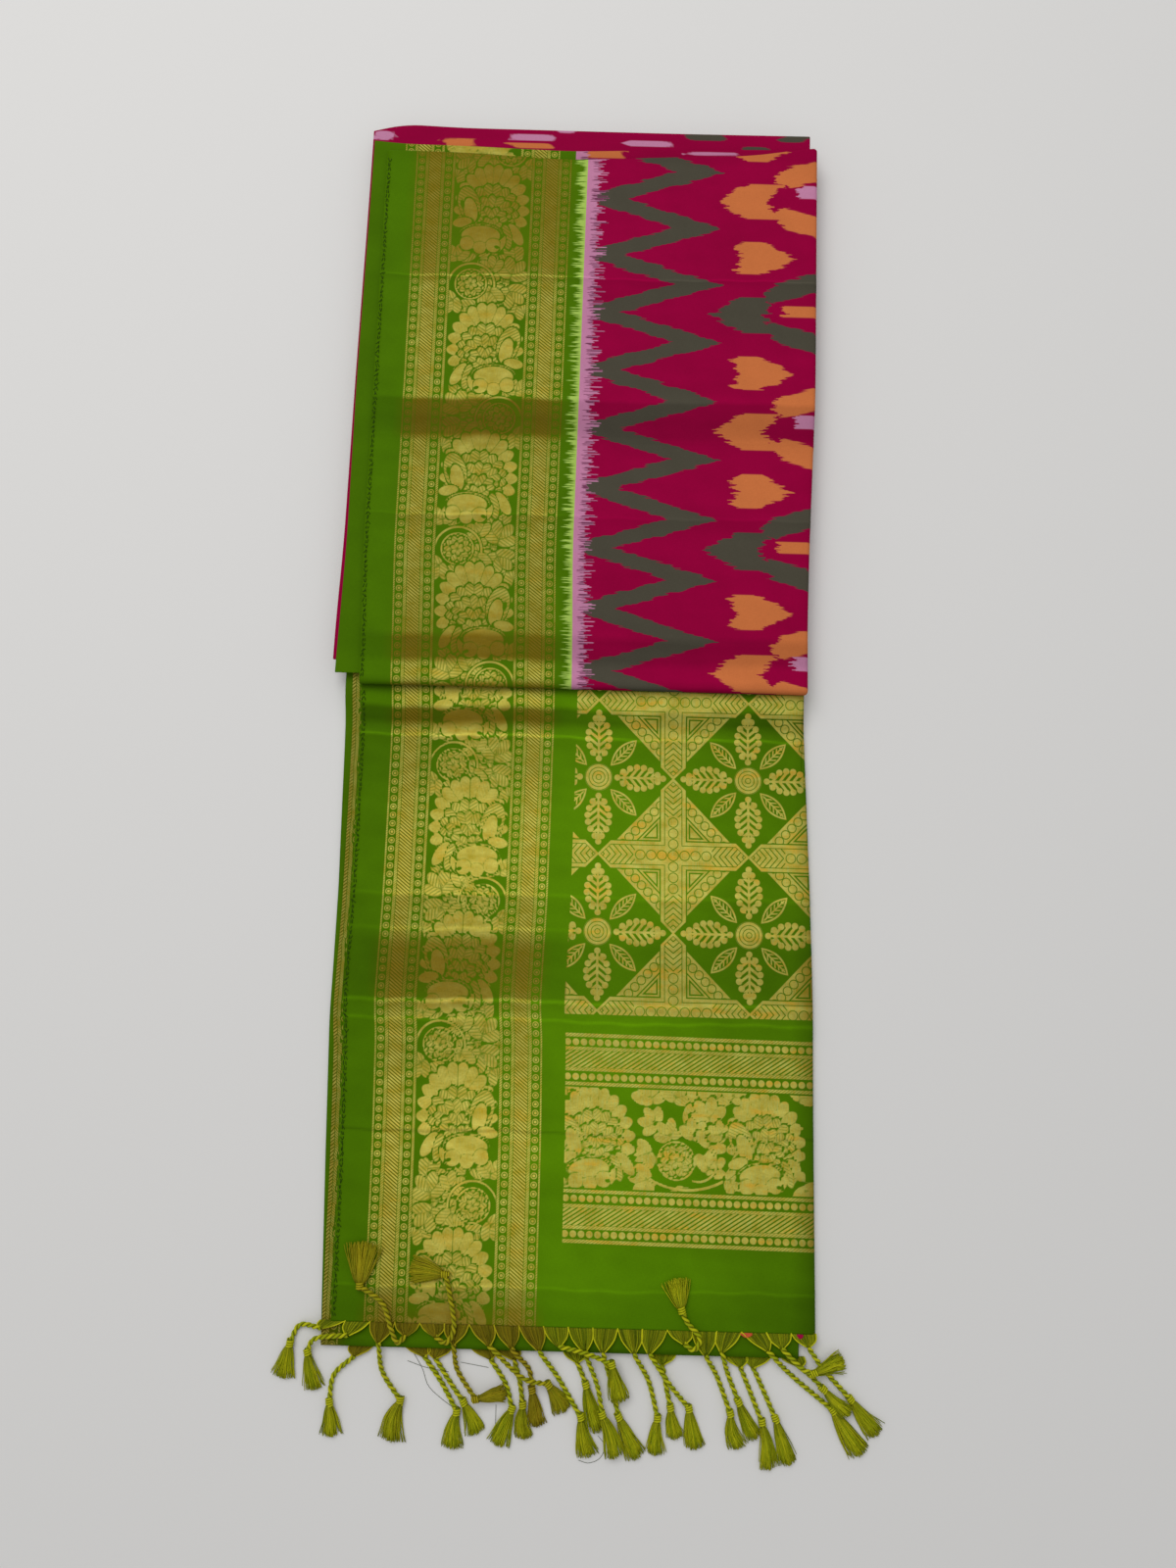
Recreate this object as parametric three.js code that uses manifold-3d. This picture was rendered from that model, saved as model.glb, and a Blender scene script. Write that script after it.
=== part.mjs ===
// A handloom silk saree, folded for the shelf and laid flat with its end piece drawn out.
//
// The cloth is woven in one length. It is folded in four across its width, so that both broad
// borders lie on one side, and then again and again along its length into a flat packet. The end
// piece, the pallu, is drawn out from under the front fold and ends in knotted tassels.
// Lengths are in millimetres, +Z is up and +Y runs from the tassels to the packet's back edge.
// The origin is in the middle of the packet's flat underside. The tables below measure from a
// point on the packet's front fold, and the group at the end is moved by ORIGIN.

import * as THREE from "three";
import Module from "manifold-3d";
import { mergeVertices } from "three/addons/utils/BufferGeometryUtils.js";

const wasm = await Module();
wasm.setup();

// Driving sizes of the cloth
const PLY = 1.0; // thickness of one ply, drawn thicker than the silk so that it stands as a solid
const PLY_GAP = 0.35; // air between two plies
const SEAM = 0.35; // gap where a tassel's web meets the cloth
const ROLL_STEPS = 5; // facets in a half turn of a fold at the packet's edge
const ORIGIN = { x: -4, y: 188 }; // the part's origin, in the tables' frame

// Heights in the packet, from the surface up
const CORE_STEP_HEIGHT = 6.1; // hidden layers that lie under the drawn out end piece
const CORE_HEIGHT = 11.4; // all of the hidden layers
const MIDDLE_PLY = { low: 11.75, thick: 1.5, frontY: 17, rightInset: 4.2 };
const BORDER_PLY = { low: 13.6, thick: PLY, frontY: 8.6, rightInset: 4.6 };
const RETURN_PLY = { low: 14.98, thick: PLY, frontY: 10, rightInset: 5.0, leftInset: 1.2, backInset: 3.2 };
const FRONT_PLY_TOP = 17.3;
const FRONT_FOLD_RADIUS = 2.75; // of the folds at the front and on the right
const BACK_FOLD_RADIUS = 1.16; // of the fold at the back, which holds one ply

// Packet outline: y along the saree, then where each edge lies across it
const FRONT_EDGE_Y = 1.8;
const PACKET_SIDES = [
  { y: 0, selvedge: -134.4, border: -150.6, middle: -152.6, right: 139.4 },
  { y: 40, selvedge: -135.0, border: -149.0, middle: -151.6, right: 139.0 },
  { y: 87, selvedge: -136.2, border: -147.2, middle: -149.4, right: 139.8 },
  { y: 190, selvedge: -135.1, border: -146.4, middle: -147.6, right: 143.4 },
  { y: 300, selvedge: -134.2, border: -143.8, middle: -145.0, right: 143.7 },
  { y: 362, selvedge: -133.5, border: -142.6, middle: -143.9, right: 143.8 },
];

// Back edges of the three plies that show there: x across the packet, then y of each edge
const PACKET_BACK = [
  { x: -150, front: 352.6, border: 361.4, middle: 366.2 },
  { x: -126, front: 352.6, border: 358.8, middle: 373.6 },
  { x: -84, front: 352.2, border: 358.4, middle: 372.0 },
  { x: -15, front: 348.8, border: 356.3, middle: 371.8 },
  { x: 54, front: 352.6, border: 359.0, middle: 371.6 },
  { x: 99, front: 354.4, border: 360.6, middle: 371.8 },
  { x: 145, front: 361.8, border: 361.2, middle: 372.0 },
];

// Pressed creases of the front ply: place along the packet, height and half width
const PACKET_CREASES = [
  { y: 31, height: 0.7, reach: 9 },
  { y: 110, height: 0.6, reach: 12 },
  { y: 160, height: 0.6, reach: 7 },
  { y: 185, height: 0.8, reach: 9 },
  { y: 267, height: 0.7, reach: 12 },
  { y: 330, height: 0.4, reach: 10 },
];

// The end piece from under the packet to its hem: height of its underside, height of a crease in
// its top ply, and the places of the fold on the left, the top selvedge and the right fold
const PALLU_ROWS = [
  { y: 28, rise: 6.5, crest: 0.0, fold: -144.0, selvedge: -134.4, right: 137.4 },
  { y: 4, rise: 6.5, crest: 0.0, fold: -144.7, selvedge: -134.4, right: 137.8 },
  { y: -4, rise: 5.2, crest: 0.0, fold: -144.7, selvedge: -134.3, right: 138.2 },
  { y: -13, rise: 2.2, crest: 0.0, fold: -144.6, selvedge: -134.3, right: 138.6 },
  { y: -21, rise: 0.4, crest: 0.1, fold: -144.6, selvedge: -134.3, right: 139.0 },
  { y: -26.5, rise: 0.0, crest: 1.4, fold: -144.6, selvedge: -134.3, right: 139.3 },
  { y: -33, rise: 0.0, crest: 0.1, fold: -144.5, selvedge: -134.4, right: 139.6 },
  { y: -75, rise: 0.0, crest: 0.0, fold: -144.2, selvedge: -134.6, right: 141.4 },
  { y: -117, rise: 0.0, crest: 0.0, fold: -143.8, selvedge: -135.0, right: 143.2 },
  { y: -124, rise: 0.0, crest: 0.6, fold: -143.9, selvedge: -135.0, right: 143.4 },
  { y: -131, rise: 0.0, crest: 0.0, fold: -144.0, selvedge: -135.2, right: 143.6 },
  { y: -165, rise: 0.0, crest: 0.0, fold: -144.5, selvedge: -136.4, right: 144.8 },
  { y: -188, rise: 0.0, crest: 1.0, fold: -145.0, selvedge: -137.0, right: 145.3 },
  { y: -193, rise: 0.0, crest: 0.3, fold: -145.0, selvedge: -136.8, right: 145.4 },
  { y: -198.5, rise: 0.0, crest: 0.8, fold: -144.9, selvedge: -136.4, right: 145.5 },
  { y: -207, rise: 0.0, crest: 0.0, fold: -144.7, selvedge: -135.6, right: 145.5 },
  { y: -256, rise: 0.0, crest: 0.0, fold: -143.5, selvedge: -134.6, right: 145.9 },
  { y: -264, rise: 0.0, crest: 0.6, fold: -143.3, selvedge: -134.5, right: 146.0 },
  { y: -272, rise: 0.0, crest: 0.0, fold: -143.1, selvedge: -134.4, right: 146.1 },
  { y: -342, rise: 0.0, crest: 0.0, fold: -141.1, selvedge: -134.2, right: 147.1 },
  { y: -351, rise: 0.0, crest: 0.6, fold: -140.8, selvedge: -134.2, right: 147.2 },
  { y: -373, rise: 0.0, crest: 0.0, fold: -140.1, selvedge: -134.2, right: 147.5 },
];
const UNDER_HEM_DROP = 14; // how far the lower plies run on past the top ply at the hem
const INNER_FOLD_INSET = { back: 0.4, hem: 8 }; // how far the inner fold lies inside the outer one
const SECOND_SELVEDGE_OUT = 5.5; // how far the lower selvedge stands out past the top one

// Layered edges of the hidden part: heights of each layer and its setback on the four sides
const CORE_LAYERS = [
  { low: 0.0, high: 2.9, left: 1.0, right: 1.4, back: 1.6, front: 1.0 },
  { low: 3.1, high: CORE_STEP_HEIGHT, left: 0.2, right: 0.6, back: 0.4, front: 0.0 },
  { low: 6.3, high: 8.7, left: 1.3, right: 0.9, back: 2.2, front: 26.4 },
  { low: 8.9, high: CORE_HEIGHT, left: 0.6, right: 1.6, back: 3.4, front: 27.0 },
];
const CORE_SIZE = { left: -149.0, right: 141.0, back: 372.0, front: 10.0, corner: 5.0 };
const CORE_EDGE = { roundedIn: 0.9, halfFlat: 0.5, cornerSteps: 4, overlap: 1 };

// Where rows and columns of points are placed on the flat plies
const FRONT_PLY_COLUMNS = [0, 0.14, 0.42, 0.55, 0.72, 0.88, 1];
const FRONT_PLY_LAST_ROW = 340;
const LEAST_ROW_GAP = 2;
const UNDER_PLY_COLUMNS = [0, 0.08, 0.2, 0.45, 0.68, 0.84, 1];
const UNDER_PLY_ROWS = [30, 60, 110, 185, 230, 267, 300, 335];
const EDGE_TUCK = 0.3; // share of its thickness by which a rounded edge is drawn in

// Facets of the end piece: across each of its four plies from the top one, and round its folds
const PALLU_FACETS = { top: 5, bottom: 3, second: 2, third: 3, outerFold: 6, innerFold: 4 };

// Tassels: a flat web of threads, a twisted cord, a knot and a skirt of strands
const CORD_RADIUS = 1.35;
const KNOT_RADIUS = 2.1;
const WEB = { thickness: 0.9, width: 13.4, gatheredWidth: 3.4, gatheredThickness: 1.8 };
const CORD_SIDES = 4;
const CORD_STEPS = 2; // sections between two bends of a cord
const FLATS = 0.86; // half the width across the flats of a four sided cord, as a share of its radius
const KNOT_STATIONS = { before: -1.8, swell: -0.9, narrow: 1.4, after: 3.0, neck: 1.5, strands: 1.2 };
const STRAND = { count: 7, radius: 0.85, tip: 0.6, rootSpread: 1.6, upperLift: 2.1, upperReach: 0.93 };
const AIR = 0.3; // air between a tassel and what it lies on
const HEM_Y = -373;
const UNDER_HEM_Y = HEM_Y - UNDER_HEM_DROP;
const FRONT_HEM = { left: -140, right: 147.4, count: 20, level: 4.55 };
const UNDER_HEM_LEVEL = 0.85;
const CORD_LEVEL = AIR + CORD_RADIUS; // heights of a cord's centre: on the surface,
const COVER_LEVEL = 5.25; // over the lower hem,
const CROSS_LEVEL = 7.9; // over another tassel's web on that hem,
const ON_CLOTH_LEVEL = 7.2; // and lying back over the cloth
const KNOT_LEVEL = AIR + KNOT_RADIUS;
const TIP_LEVEL = AIR + STRAND.tip;
const TASSEL_COLUMNS = [
  "name", "hem", "root", "gather_x", "gather_y", "bend_x", "bend_y",
  "knot_x", "knot_y", "tip_x", "tip_y", "bend_lift", "knot_lift", "tip_lift", "spread",
];
// A root on the front hem is a place from 0 to 19, and on the lower hem an x
const TASSEL_TABLE = [
  ["far_left", "front", 0, -139.5, -377, -153, -377, -157.8, -386.7, -160.9, -407, 0, 0, 0, 9],
  ["left_loop", "front", 1, -124, -380.5, -143.5, -383.5, -147.4, -391.5, -142, -413, 3.6, 0, 0, 8],
  ["second_hang", "front", 2, -106, -384, -103.5, -401, -92.3, -416.5, -96.4, -440, 0, 0, 0, 10],
  ["brown_side", "front", 5, -62.5, -383.5, -60, -399, -48.5, -413.5, -30.5, -410.5, 0, 3.4, 2.6, 6],
  ["cross_right", "front", 6, -42, -384, -20, -401.5, -7, -404.5, 3, -421, 5.4, 2.4, 0, 8],
  ["brown_hang", "front", 7, -29, -385, -18.2, -398, -16.3, -408.5, -12, -429.5, 0, 0, 0, 7],
  ["mid_long", "front", 8, -13, -386, -1.5, -401.7, 12.4, -423, 17.6, -445.5, 0, 0, 0, 8],
  ["cord_over", "front", 9, -1.5, -383.5, 15.5, -386.2, 29.4, -391.5, 35, -414, 6.9, 5.2, 3.4, 8],
  ["mid_c", "front", 10, 13.5, -386, 21.5, -405, 24.6, -420, 33, -444.5, 2.6, 2.6, 2.6, 8],
  ["mid_d", "front", 11, 24.2, -386, 29.5, -404, 34.2, -422, 45.4, -445.5, 0, 0, 0, 8],
  ["mid_e", "front", 12, 42, -386, 51, -402, 56.7, -421.9, 55.4, -443.3, 0, 0, 0, 7],
  ["mid_g", "front", 13, 51, -386, 63, -402.5, 74.6, -416.2, 79.2, -439.5, 3.4, 0, 0, 8],
  ["pair_b_left", "front", 15, 83.6, -386, 90.4, -398, 98.6, -418.4, 104, -438.5, 0, 0, 0, 7],
  ["pair_b_right", "front", 16, 93, -384, 97.2, -397.5, 103.2, -411.8, 113.4, -433, 0, 0, 0, 7],
  ["right_low", "front", 17, 119.5, -382.5, 133.5, -396.5, 157.6, -415, 174.9, -440, 0, 0, 0, 9],
  ["right_flick", "front", 18, 127.5, -381, 139, -391.6, 145.6, -393.8, 165, -387.8, 4.6, 4.6, 1.6, 8],
  ["right_far", "front", 19, 143, -380, 152, -392.5, 168, -409, 184, -429, 0, 0, 0, 8],
  ["left_hang", "under", -116, -120, -393, -131.5, -404, -133.2, -418.4, -131.1, -438, 0, 0, 0, 8],
  ["pair_a_left", "under", -84, -79.6, -392, -69, -406, -59.4, -421.6, -61.4, -443, 0, 0, 0, 8],
  ["pair_a_right", "under", -70, -73, -393, -62.4, -408, -55.6, -416.6, -47.2, -434.5, 0, 0, 0, 8],
  ["spread_left", "under", -46, -41, -392.5, -31.2, -407, -27.6, -419.4, -35.6, -440.5, 0, 0, 0, 9],
  ["spread_mid", "under", -31.5, -27.2, -392.5, -23.6, -404, -21.4, -417, -20, -436.5, 0, 0, 0, 7],
  ["mid_broad", "under", 8, 9.4, -393, 12.4, -399.4, 14.8, -405, 22.8, -432, 0, 0, 0, 8],
  ["mid_f", "under", 60, 59, -393, 61.6, -406, 64, -416.2, 67.8, -434, 0, 0, 0, 7],
  ["pair_c_left", "under", 101, 104.2, -393, 109.6, -405.5, 117, -423, 121, -449.5, 0, 0, 0, 7],
  ["pair_c_right", "under", 115.5, 111.6, -393, 117.4, -405, 124.7, -420.6, 133.4, -446.5, 0, 0, 0, 7],
  ["right_short", "under", 134, 138.5, -392, 145.5, -397.4, 151.5, -402.5, 167.5, -417, 0, 3, 3, 6],
];
// Tassels thrown back over the cloth: they leave the front hem, turn and lie on the top ply
const THROWN_COLUMNS = [
  "name", "root", "gather_x", "gather_y", "turn_x", "turn_y", "over_x", "over_y",
  "bend_x", "bend_y", "knot_x", "knot_y", "tip_x", "tip_y", "spread",
];
const THROWN_TABLE = [
  ["up_left", 3, -90.5, -380, -94.5, -383, -98.5, -376, -104.3, -362, -117.9, -352.3, -117, -327, 14],
  ["up_side", 4, -73, -380, -67, -382.5, -62.5, -376, -65.5, -356, -68.5, -344.6, -90, -342.8, 11],
  ["up_right", 14, 71.2, -380, 76.5, -382.5, 80, -376.5, 72.5, -367.5, 69.2, -361, 65.2, -343, 11],
];

// Colours of the cloth
const PINK = 0x9c0a4e;
const GREEN = 0x5c8a0a;
const ZARI = 0xa8913a;
const SKIRT_GREEN = 0x8a9a14;

const clothMaterial = (color) => new THREE.MeshStandardMaterial({ color, roughness: 0.55, metalness: 0.05 });

// A table of rows as objects with named columns
const named = (columns, table) =>
  table.map((row) => Object.fromEntries(row.map((value, i) => [columns[i], value])));

// A value read from a table between its rows
function between(table, key, at, column) {
  const rows = [...table].sort((a, b) => a[key] - b[key]);
  if (at <= rows[0][key]) return rows[0][column];
  for (let i = 1; i < rows.length; i++) {
    if (at <= rows[i][key]) {
      const share = (at - rows[i - 1][key]) / (rows[i][key] - rows[i - 1][key]);
      return THREE.MathUtils.lerp(rows[i - 1][column], rows[i][column], share);
    }
  }
  return rows.at(-1)[column];
}

// A closed solid from an outer and an inner grid of points with a rim all round
function solidFromGrids(outer, inner) {
  const rows = outer.length;
  const columns = outer[0].length;
  const points = [...outer.flat(), ...inner.flat()];
  const top = (i, j) => i * columns + j;
  const under = (i, j) => rows * columns + i * columns + j;
  const faces = [];
  const quad = (a, b, c, d) => faces.push(a, b, c, a, c, d);
  for (let i = 0; i + 1 < rows; i++) {
    for (let j = 0; j + 1 < columns; j++) {
      quad(top(i, j), top(i, j + 1), top(i + 1, j + 1), top(i + 1, j));
      quad(under(i, j), under(i + 1, j), under(i + 1, j + 1), under(i, j + 1));
    }
    quad(top(i, 0), top(i + 1, 0), under(i + 1, 0), under(i, 0));
    quad(top(i + 1, columns - 1), top(i, columns - 1), under(i, columns - 1), under(i + 1, columns - 1));
  }
  for (let j = 0; j + 1 < columns; j++) {
    quad(top(0, j + 1), top(0, j), under(0, j), under(0, j + 1));
    quad(top(rows - 1, j), top(rows - 1, j + 1), under(rows - 1, j + 1), under(rows - 1, j));
  }
  return orient(geometryOf(points, faces));
}

function geometryOf(points, faces) {
  const geometry = new THREE.BufferGeometry();
  geometry.setAttribute("position", new THREE.Float32BufferAttribute(points.flat(), 3));
  geometry.setIndex(faces);
  return geometry;
}

// Turns a closed geometry's faces so that they point out
function orient(geometry) {
  const p = geometry.getAttribute("position");
  const index = geometry.index.array;
  const corners = [new THREE.Vector3(), new THREE.Vector3(), new THREE.Vector3()];
  let volume = 0;
  for (let i = 0; i < index.length; i += 3) {
    corners.forEach((corner, k) => corner.fromBufferAttribute(p, index[i + k]));
    volume += corners[0].dot(corners[1].clone().cross(corners[2]));
  }
  if (volume < 0) {
    for (let i = 0; i < index.length; i += 3) {
      [index[i + 1], index[i + 2]] = [index[i + 2], index[i + 1]];
    }
  }
  return geometry;
}

// Joins solids that meet into one
function join(geometries) {
  const solids = geometries.map((geometry) => {
    const merged = mergeVertices(geometry, 1e-4);
    return new wasm.Manifold(
      new wasm.Mesh({
        numProp: 3,
        vertProperties: merged.getAttribute("position").array,
        triVerts: new Uint32Array(merged.index.array),
      }),
    );
  });
  const whole = solids.reduce((sum, solid) => sum.add(solid));
  const mesh = whole.getMesh();
  const geometry = new THREE.BufferGeometry();
  geometry.setAttribute("position", new THREE.Float32BufferAttribute(mesh.vertProperties, 3));
  geometry.setIndex([...mesh.triVerts]);
  return geometry;
}

// A closed solid through rings of points, with flat ends
function solidFromRings(rings) {
  const sides = rings[0].length;
  const points = rings.flat();
  const faces = [];
  for (let i = 0; i + 1 < rings.length; i++) {
    for (let j = 0; j < sides; j++) {
      const next = (j + 1) % sides;
      const [a, b, c, d] = [i * sides + j, i * sides + next, (i + 1) * sides + next, (i + 1) * sides + j];
      faces.push(a, b, c, a, c, d);
    }
  }
  const last = (rings.length - 1) * sides;
  for (let j = 1; j + 1 < sides; j++) {
    faces.push(0, j + 1, j, last, last + j, last + j + 1);
  }
  return orient(geometryOf(points, faces));
}

// Height that the pressed creases add at a place along the packet
function creaseHeight(y) {
  return PACKET_CREASES.reduce((sum, crease) => {
    const share = Math.max(0, 1 - Math.abs(y - crease.y) / crease.reach);
    return sum + crease.height * share;
  }, 0);
}

// Places along the packet where a row of points is needed to carry the creases
function creaseRows(from, to) {
  const places = [from, to];
  for (const { y, reach } of PACKET_CREASES) places.push(y - reach, y, y + reach);
  return places.filter((y) => y >= from && y <= to).sort((a, b) => a - b)
    .filter((y, i, all) => i === 0 || y - all[i - 1] > LEAST_ROW_GAP);
}

// The front ply of the packet: flat, with its front, back and right edges folded under
function frontPly() {
  const flatFront = FRONT_EDGE_Y + FRONT_FOLD_RADIUS;
  const places = creaseRows(flatFront, FRONT_PLY_LAST_ROW);
  const shares = FRONT_PLY_COLUMNS;
  const rollSpan = Array.from({ length: ROLL_STEPS }, (_, k) => k + 1);
  const rowKeys = [...rollSpan.map((k) => -k).reverse(), ...places.map(() => 0), ...rollSpan];
  const columnKeys = [...shares.map(() => 0), ...rollSpan];
  const grid = (inward) =>
    rowKeys.map((rowRoll, i) =>
      columnKeys.map((columnRoll, j) => {
        const row = THREE.MathUtils.clamp(i - ROLL_STEPS, 0, places.length - 1);
        const share = shares[Math.min(j, shares.length - 1)];
        const alongShare = (places[row] - flatFront) / (places.at(-1) - flatFront);
        const left = between(PACKET_SIDES, "y", places[row], "selvedge");
        const right = between(PACKET_SIDES, "y", places[row], "right") - FRONT_FOLD_RADIUS;
        const x = THREE.MathUtils.lerp(left, right, share);
        const backY = between(PACKET_BACK, "x", x, "front") - BACK_FOLD_RADIUS;
        const y = THREE.MathUtils.lerp(flatFront, backY, alongShare);
        const { turn, outX, outY } = rollDirection(columnRoll, rowRoll);
        const foldRadius = THREE.MathUtils.lerp(FRONT_FOLD_RADIUS, BACK_FOLD_RADIUS, Math.max(0, outY));
        const radius = foldRadius - inward;
        return [
          x + outX * radius * Math.sin(turn),
          y + outY * radius * Math.sin(turn),
          FRONT_PLY_TOP + creaseHeight(y) - inward - radius * (1 - Math.cos(turn)),
        ];
      }),
    );
  return solidFromGrids(grid(0), grid(PLY));
}

// How far a grid point has turned into the folds at its edges, and which way it faces there
function rollDirection(columnRoll, rowRoll) {
  const steps = Math.max(Math.abs(columnRoll), Math.abs(rowRoll));
  if (steps === 0) return { turn: 0, outX: 0, outY: 0 };
  const heading = (Math.PI / 4) * (Math.abs(columnRoll) >= Math.abs(rowRoll)
    ? Math.abs(rowRoll) / Math.abs(columnRoll)
    : 2 - Math.abs(columnRoll) / Math.abs(rowRoll));
  const turn = (Math.PI * steps) / ROLL_STEPS;
  return { turn, outX: Math.cos(heading), outY: Math.sin(heading) * Math.sign(rowRoll) };
}

// A ply that lies under the front one. Its left and back edges are read from the two tables of the
// packet's outline, and a folded one is rounded along them.
function underPly({ side, back, low, thick, frontY, rightInset, leftInset = 0, backInset = 0, folded = false }) {
  const places = [frontY, ...UNDER_PLY_ROWS];
  const shares = UNDER_PLY_COLUMNS;
  const bead = folded ? thick / 2 : 0;
  const grid = (height, faceUp) => {
    const point = (place, share, outX, outY) => {
      const alongShare = (place - frontY) / (places.at(-1) - frontY);
      const left = between(PACKET_SIDES, "y", place, side) + leftInset + bead;
      const right = between(PACKET_SIDES, "y", place, "right") - rightInset;
      const x = THREE.MathUtils.lerp(left, right, share) - outX * bead;
      const backY = between(PACKET_BACK, "x", x, back) - backInset - bead;
      const y = THREE.MathUtils.lerp(frontY, backY, alongShare) + outY * bead;
      const tucked = Math.max(outX, outY) * faceUp * thick * EDGE_TUCK;
      return [x, y, height - tucked];
    };
    const row = (place, outY) => {
      const points = shares.map((share) => point(place, share, 0, outY));
      return folded ? [point(place, 0, 1, outY), ...points] : points;
    };
    const rows = places.map((place) => row(place, 0));
    return folded ? [...rows, row(places.at(-1), 1)] : rows;
  };
  return solidFromGrids(grid(low + thick, 1), grid(low, -1));
}

// The hidden layers: one rounded solid with a layered edge, lower in front where the end piece lies
function packetCore() {
  const outline = (inset, layer) => {
    const left = CORE_SIZE.left + layer.left + inset;
    const right = CORE_SIZE.right - layer.right - inset;
    const back = CORE_SIZE.back - layer.back - inset;
    const front = CORE_SIZE.front + layer.front + inset;
    const radius = CORE_SIZE.corner;
    const corners = [
      [right - radius, back - radius, 0],
      [left + radius, back - radius, 1],
      [left + radius, front + radius, 2],
      [right - radius, front + radius, 3],
    ];
    return corners.flatMap(([x, y, quarter]) =>
      Array.from({ length: CORE_EDGE.cornerSteps }, (_, step) => {
        const angle = (quarter + step / (CORE_EDGE.cornerSteps - 1)) * (Math.PI / 2);
        return [x + radius * Math.cos(angle), y + radius * Math.sin(angle)];
      }),
    );
  };
  const stack = (layers) => {
    const rings = layers.flatMap((layer) => {
      const middle = (layer.low + layer.high) / 2;
      return [
        [layer.low, CORE_EDGE.roundedIn],
        [middle - CORE_EDGE.halfFlat, 0],
        [middle + CORE_EDGE.halfFlat, 0],
        [layer.high, CORE_EDGE.roundedIn],
      ].map(([z, inset]) => outline(inset, layer).map(([x, y]) => [x, y, z]));
    });
    return solidFromRings(rings);
  };
  const lower = CORE_LAYERS.filter((layer) => layer.high <= CORE_STEP_HEIGHT);
  const upper = CORE_LAYERS.filter((layer) => layer.high > CORE_STEP_HEIGHT);
  const sunk = { ...upper[0], low: CORE_STEP_HEIGHT - CORE_EDGE.overlap };
  return join([stack(lower), stack([sunk, ...upper.slice(1)])]);
}

// The centre line of the end piece across its width, from the top selvedge round both folds to the
// lower selvedge: x, height above its underside, how far it runs on at the hem, share of the crease
function palluSection(row) {
  const hemShare = (PALLU_ROWS[0].y - row.y) / (PALLU_ROWS[0].y - HEM_Y);
  const inset = THREE.MathUtils.lerp(INNER_FOLD_INSET.back, INNER_FOLD_INSET.hem, hemShare);
  const pitch = PLY + PLY_GAP;
  const levels = [0, 1, 2, 3].map((ply) => PLY / 2 + ply * pitch);
  const outerRadius = (levels[3] - levels[0]) / 2;
  const innerRadius = (levels[2] - levels[1]) / 2;
  const outerX = row.right - outerRadius - PLY / 2;
  const innerX = outerX - inset;
  const foldX = row.fold + innerRadius + PLY / 2;
  const line = [];
  const straight = (from, to, ply, steps, drops) => {
    for (let k = 0; k <= steps; k++) {
      const share = k / steps;
      const drop = THREE.MathUtils.lerp(drops[0], drops[1], share);
      line.push([THREE.MathUtils.lerp(from, to, share), levels[ply], drop, ply / 3]);
    }
  };
  const turn = (x, radius, side, from, to, drop, steps) => {
    const middle = (levels[from] + levels[to]) / 2;
    const way = Math.sign(levels[from] - levels[to]);
    for (let k = 1; k < steps; k++) {
      const angle = (Math.PI * k) / steps;
      const z = middle + way * radius * Math.cos(angle);
      line.push([x + side * radius * Math.sin(angle), z, drop, z / levels[3]]);
    }
  };
  const facets = PALLU_FACETS;
  const low = UNDER_HEM_DROP;
  straight(row.selvedge, outerX, 3, facets.top, [0, 0]);
  turn(outerX, outerRadius, 1, 3, 0, 0, facets.outerFold);
  straight(outerX, foldX, 0, facets.bottom, [0, low]);
  turn(foldX, innerRadius, -1, 0, 1, low, facets.innerFold);
  straight(foldX, innerX, 1, facets.second, [low, low]);
  turn(innerX, innerRadius, 1, 1, 2, low, facets.innerFold);
  straight(innerX, row.selvedge - SECOND_SELVEDGE_OUT, 2, facets.third, [low, low]);
  return line;
}

// The end piece: one cloth folded in four, carried from under the packet down to the surface
function pallu() {
  const sides = [1, -1].map((side) =>
    PALLU_ROWS.map((row) => {
      const line = palluSection(row);
      const length = PALLU_ROWS[0].y - HEM_Y;
      return line.map(([x, z, drop, creaseShare], k) => {
        const [ax, az] = line[Math.max(0, k - 1)];
        const [bx, bz] = line[Math.min(line.length - 1, k + 1)];
        const span = Math.hypot(bx - ax, bz - az);
        const y = row.y - (drop * (PALLU_ROWS[0].y - row.y)) / length;
        return [
          x - (side * (PLY / 2) * (bz - az)) / span,
          y,
          z + (side * (PLY / 2) * (bx - ax)) / span + row.rise + row.crest * creaseShare,
        ];
      });
    }),
  );
  return solidFromGrids(sides[0], sides[1]);
}

// A ring of points round a place on a cord, flat and wide where it is still a web of threads
function cordRing(at, heading, halfWidth, halfHeight) {
  const across = [-heading[1], heading[0]];
  return Array.from({ length: CORD_SIDES }, (_, k) => {
    const angle = (Math.PI / CORD_SIDES) * (2 * k + 1);
    const w = (halfWidth * Math.cos(angle)) / Math.cos(Math.PI / CORD_SIDES);
    const h = (halfHeight * Math.sin(angle)) / Math.cos(Math.PI / CORD_SIDES);
    return [at[0] + across[0] * w, at[1] + across[1] * w, at[2] + h];
  });
}

const unit = (a, b) => {
  const length = Math.hypot(b[0] - a[0], b[1] - a[1]);
  return [(b[0] - a[0]) / length, (b[1] - a[1]) / length];
};

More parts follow.
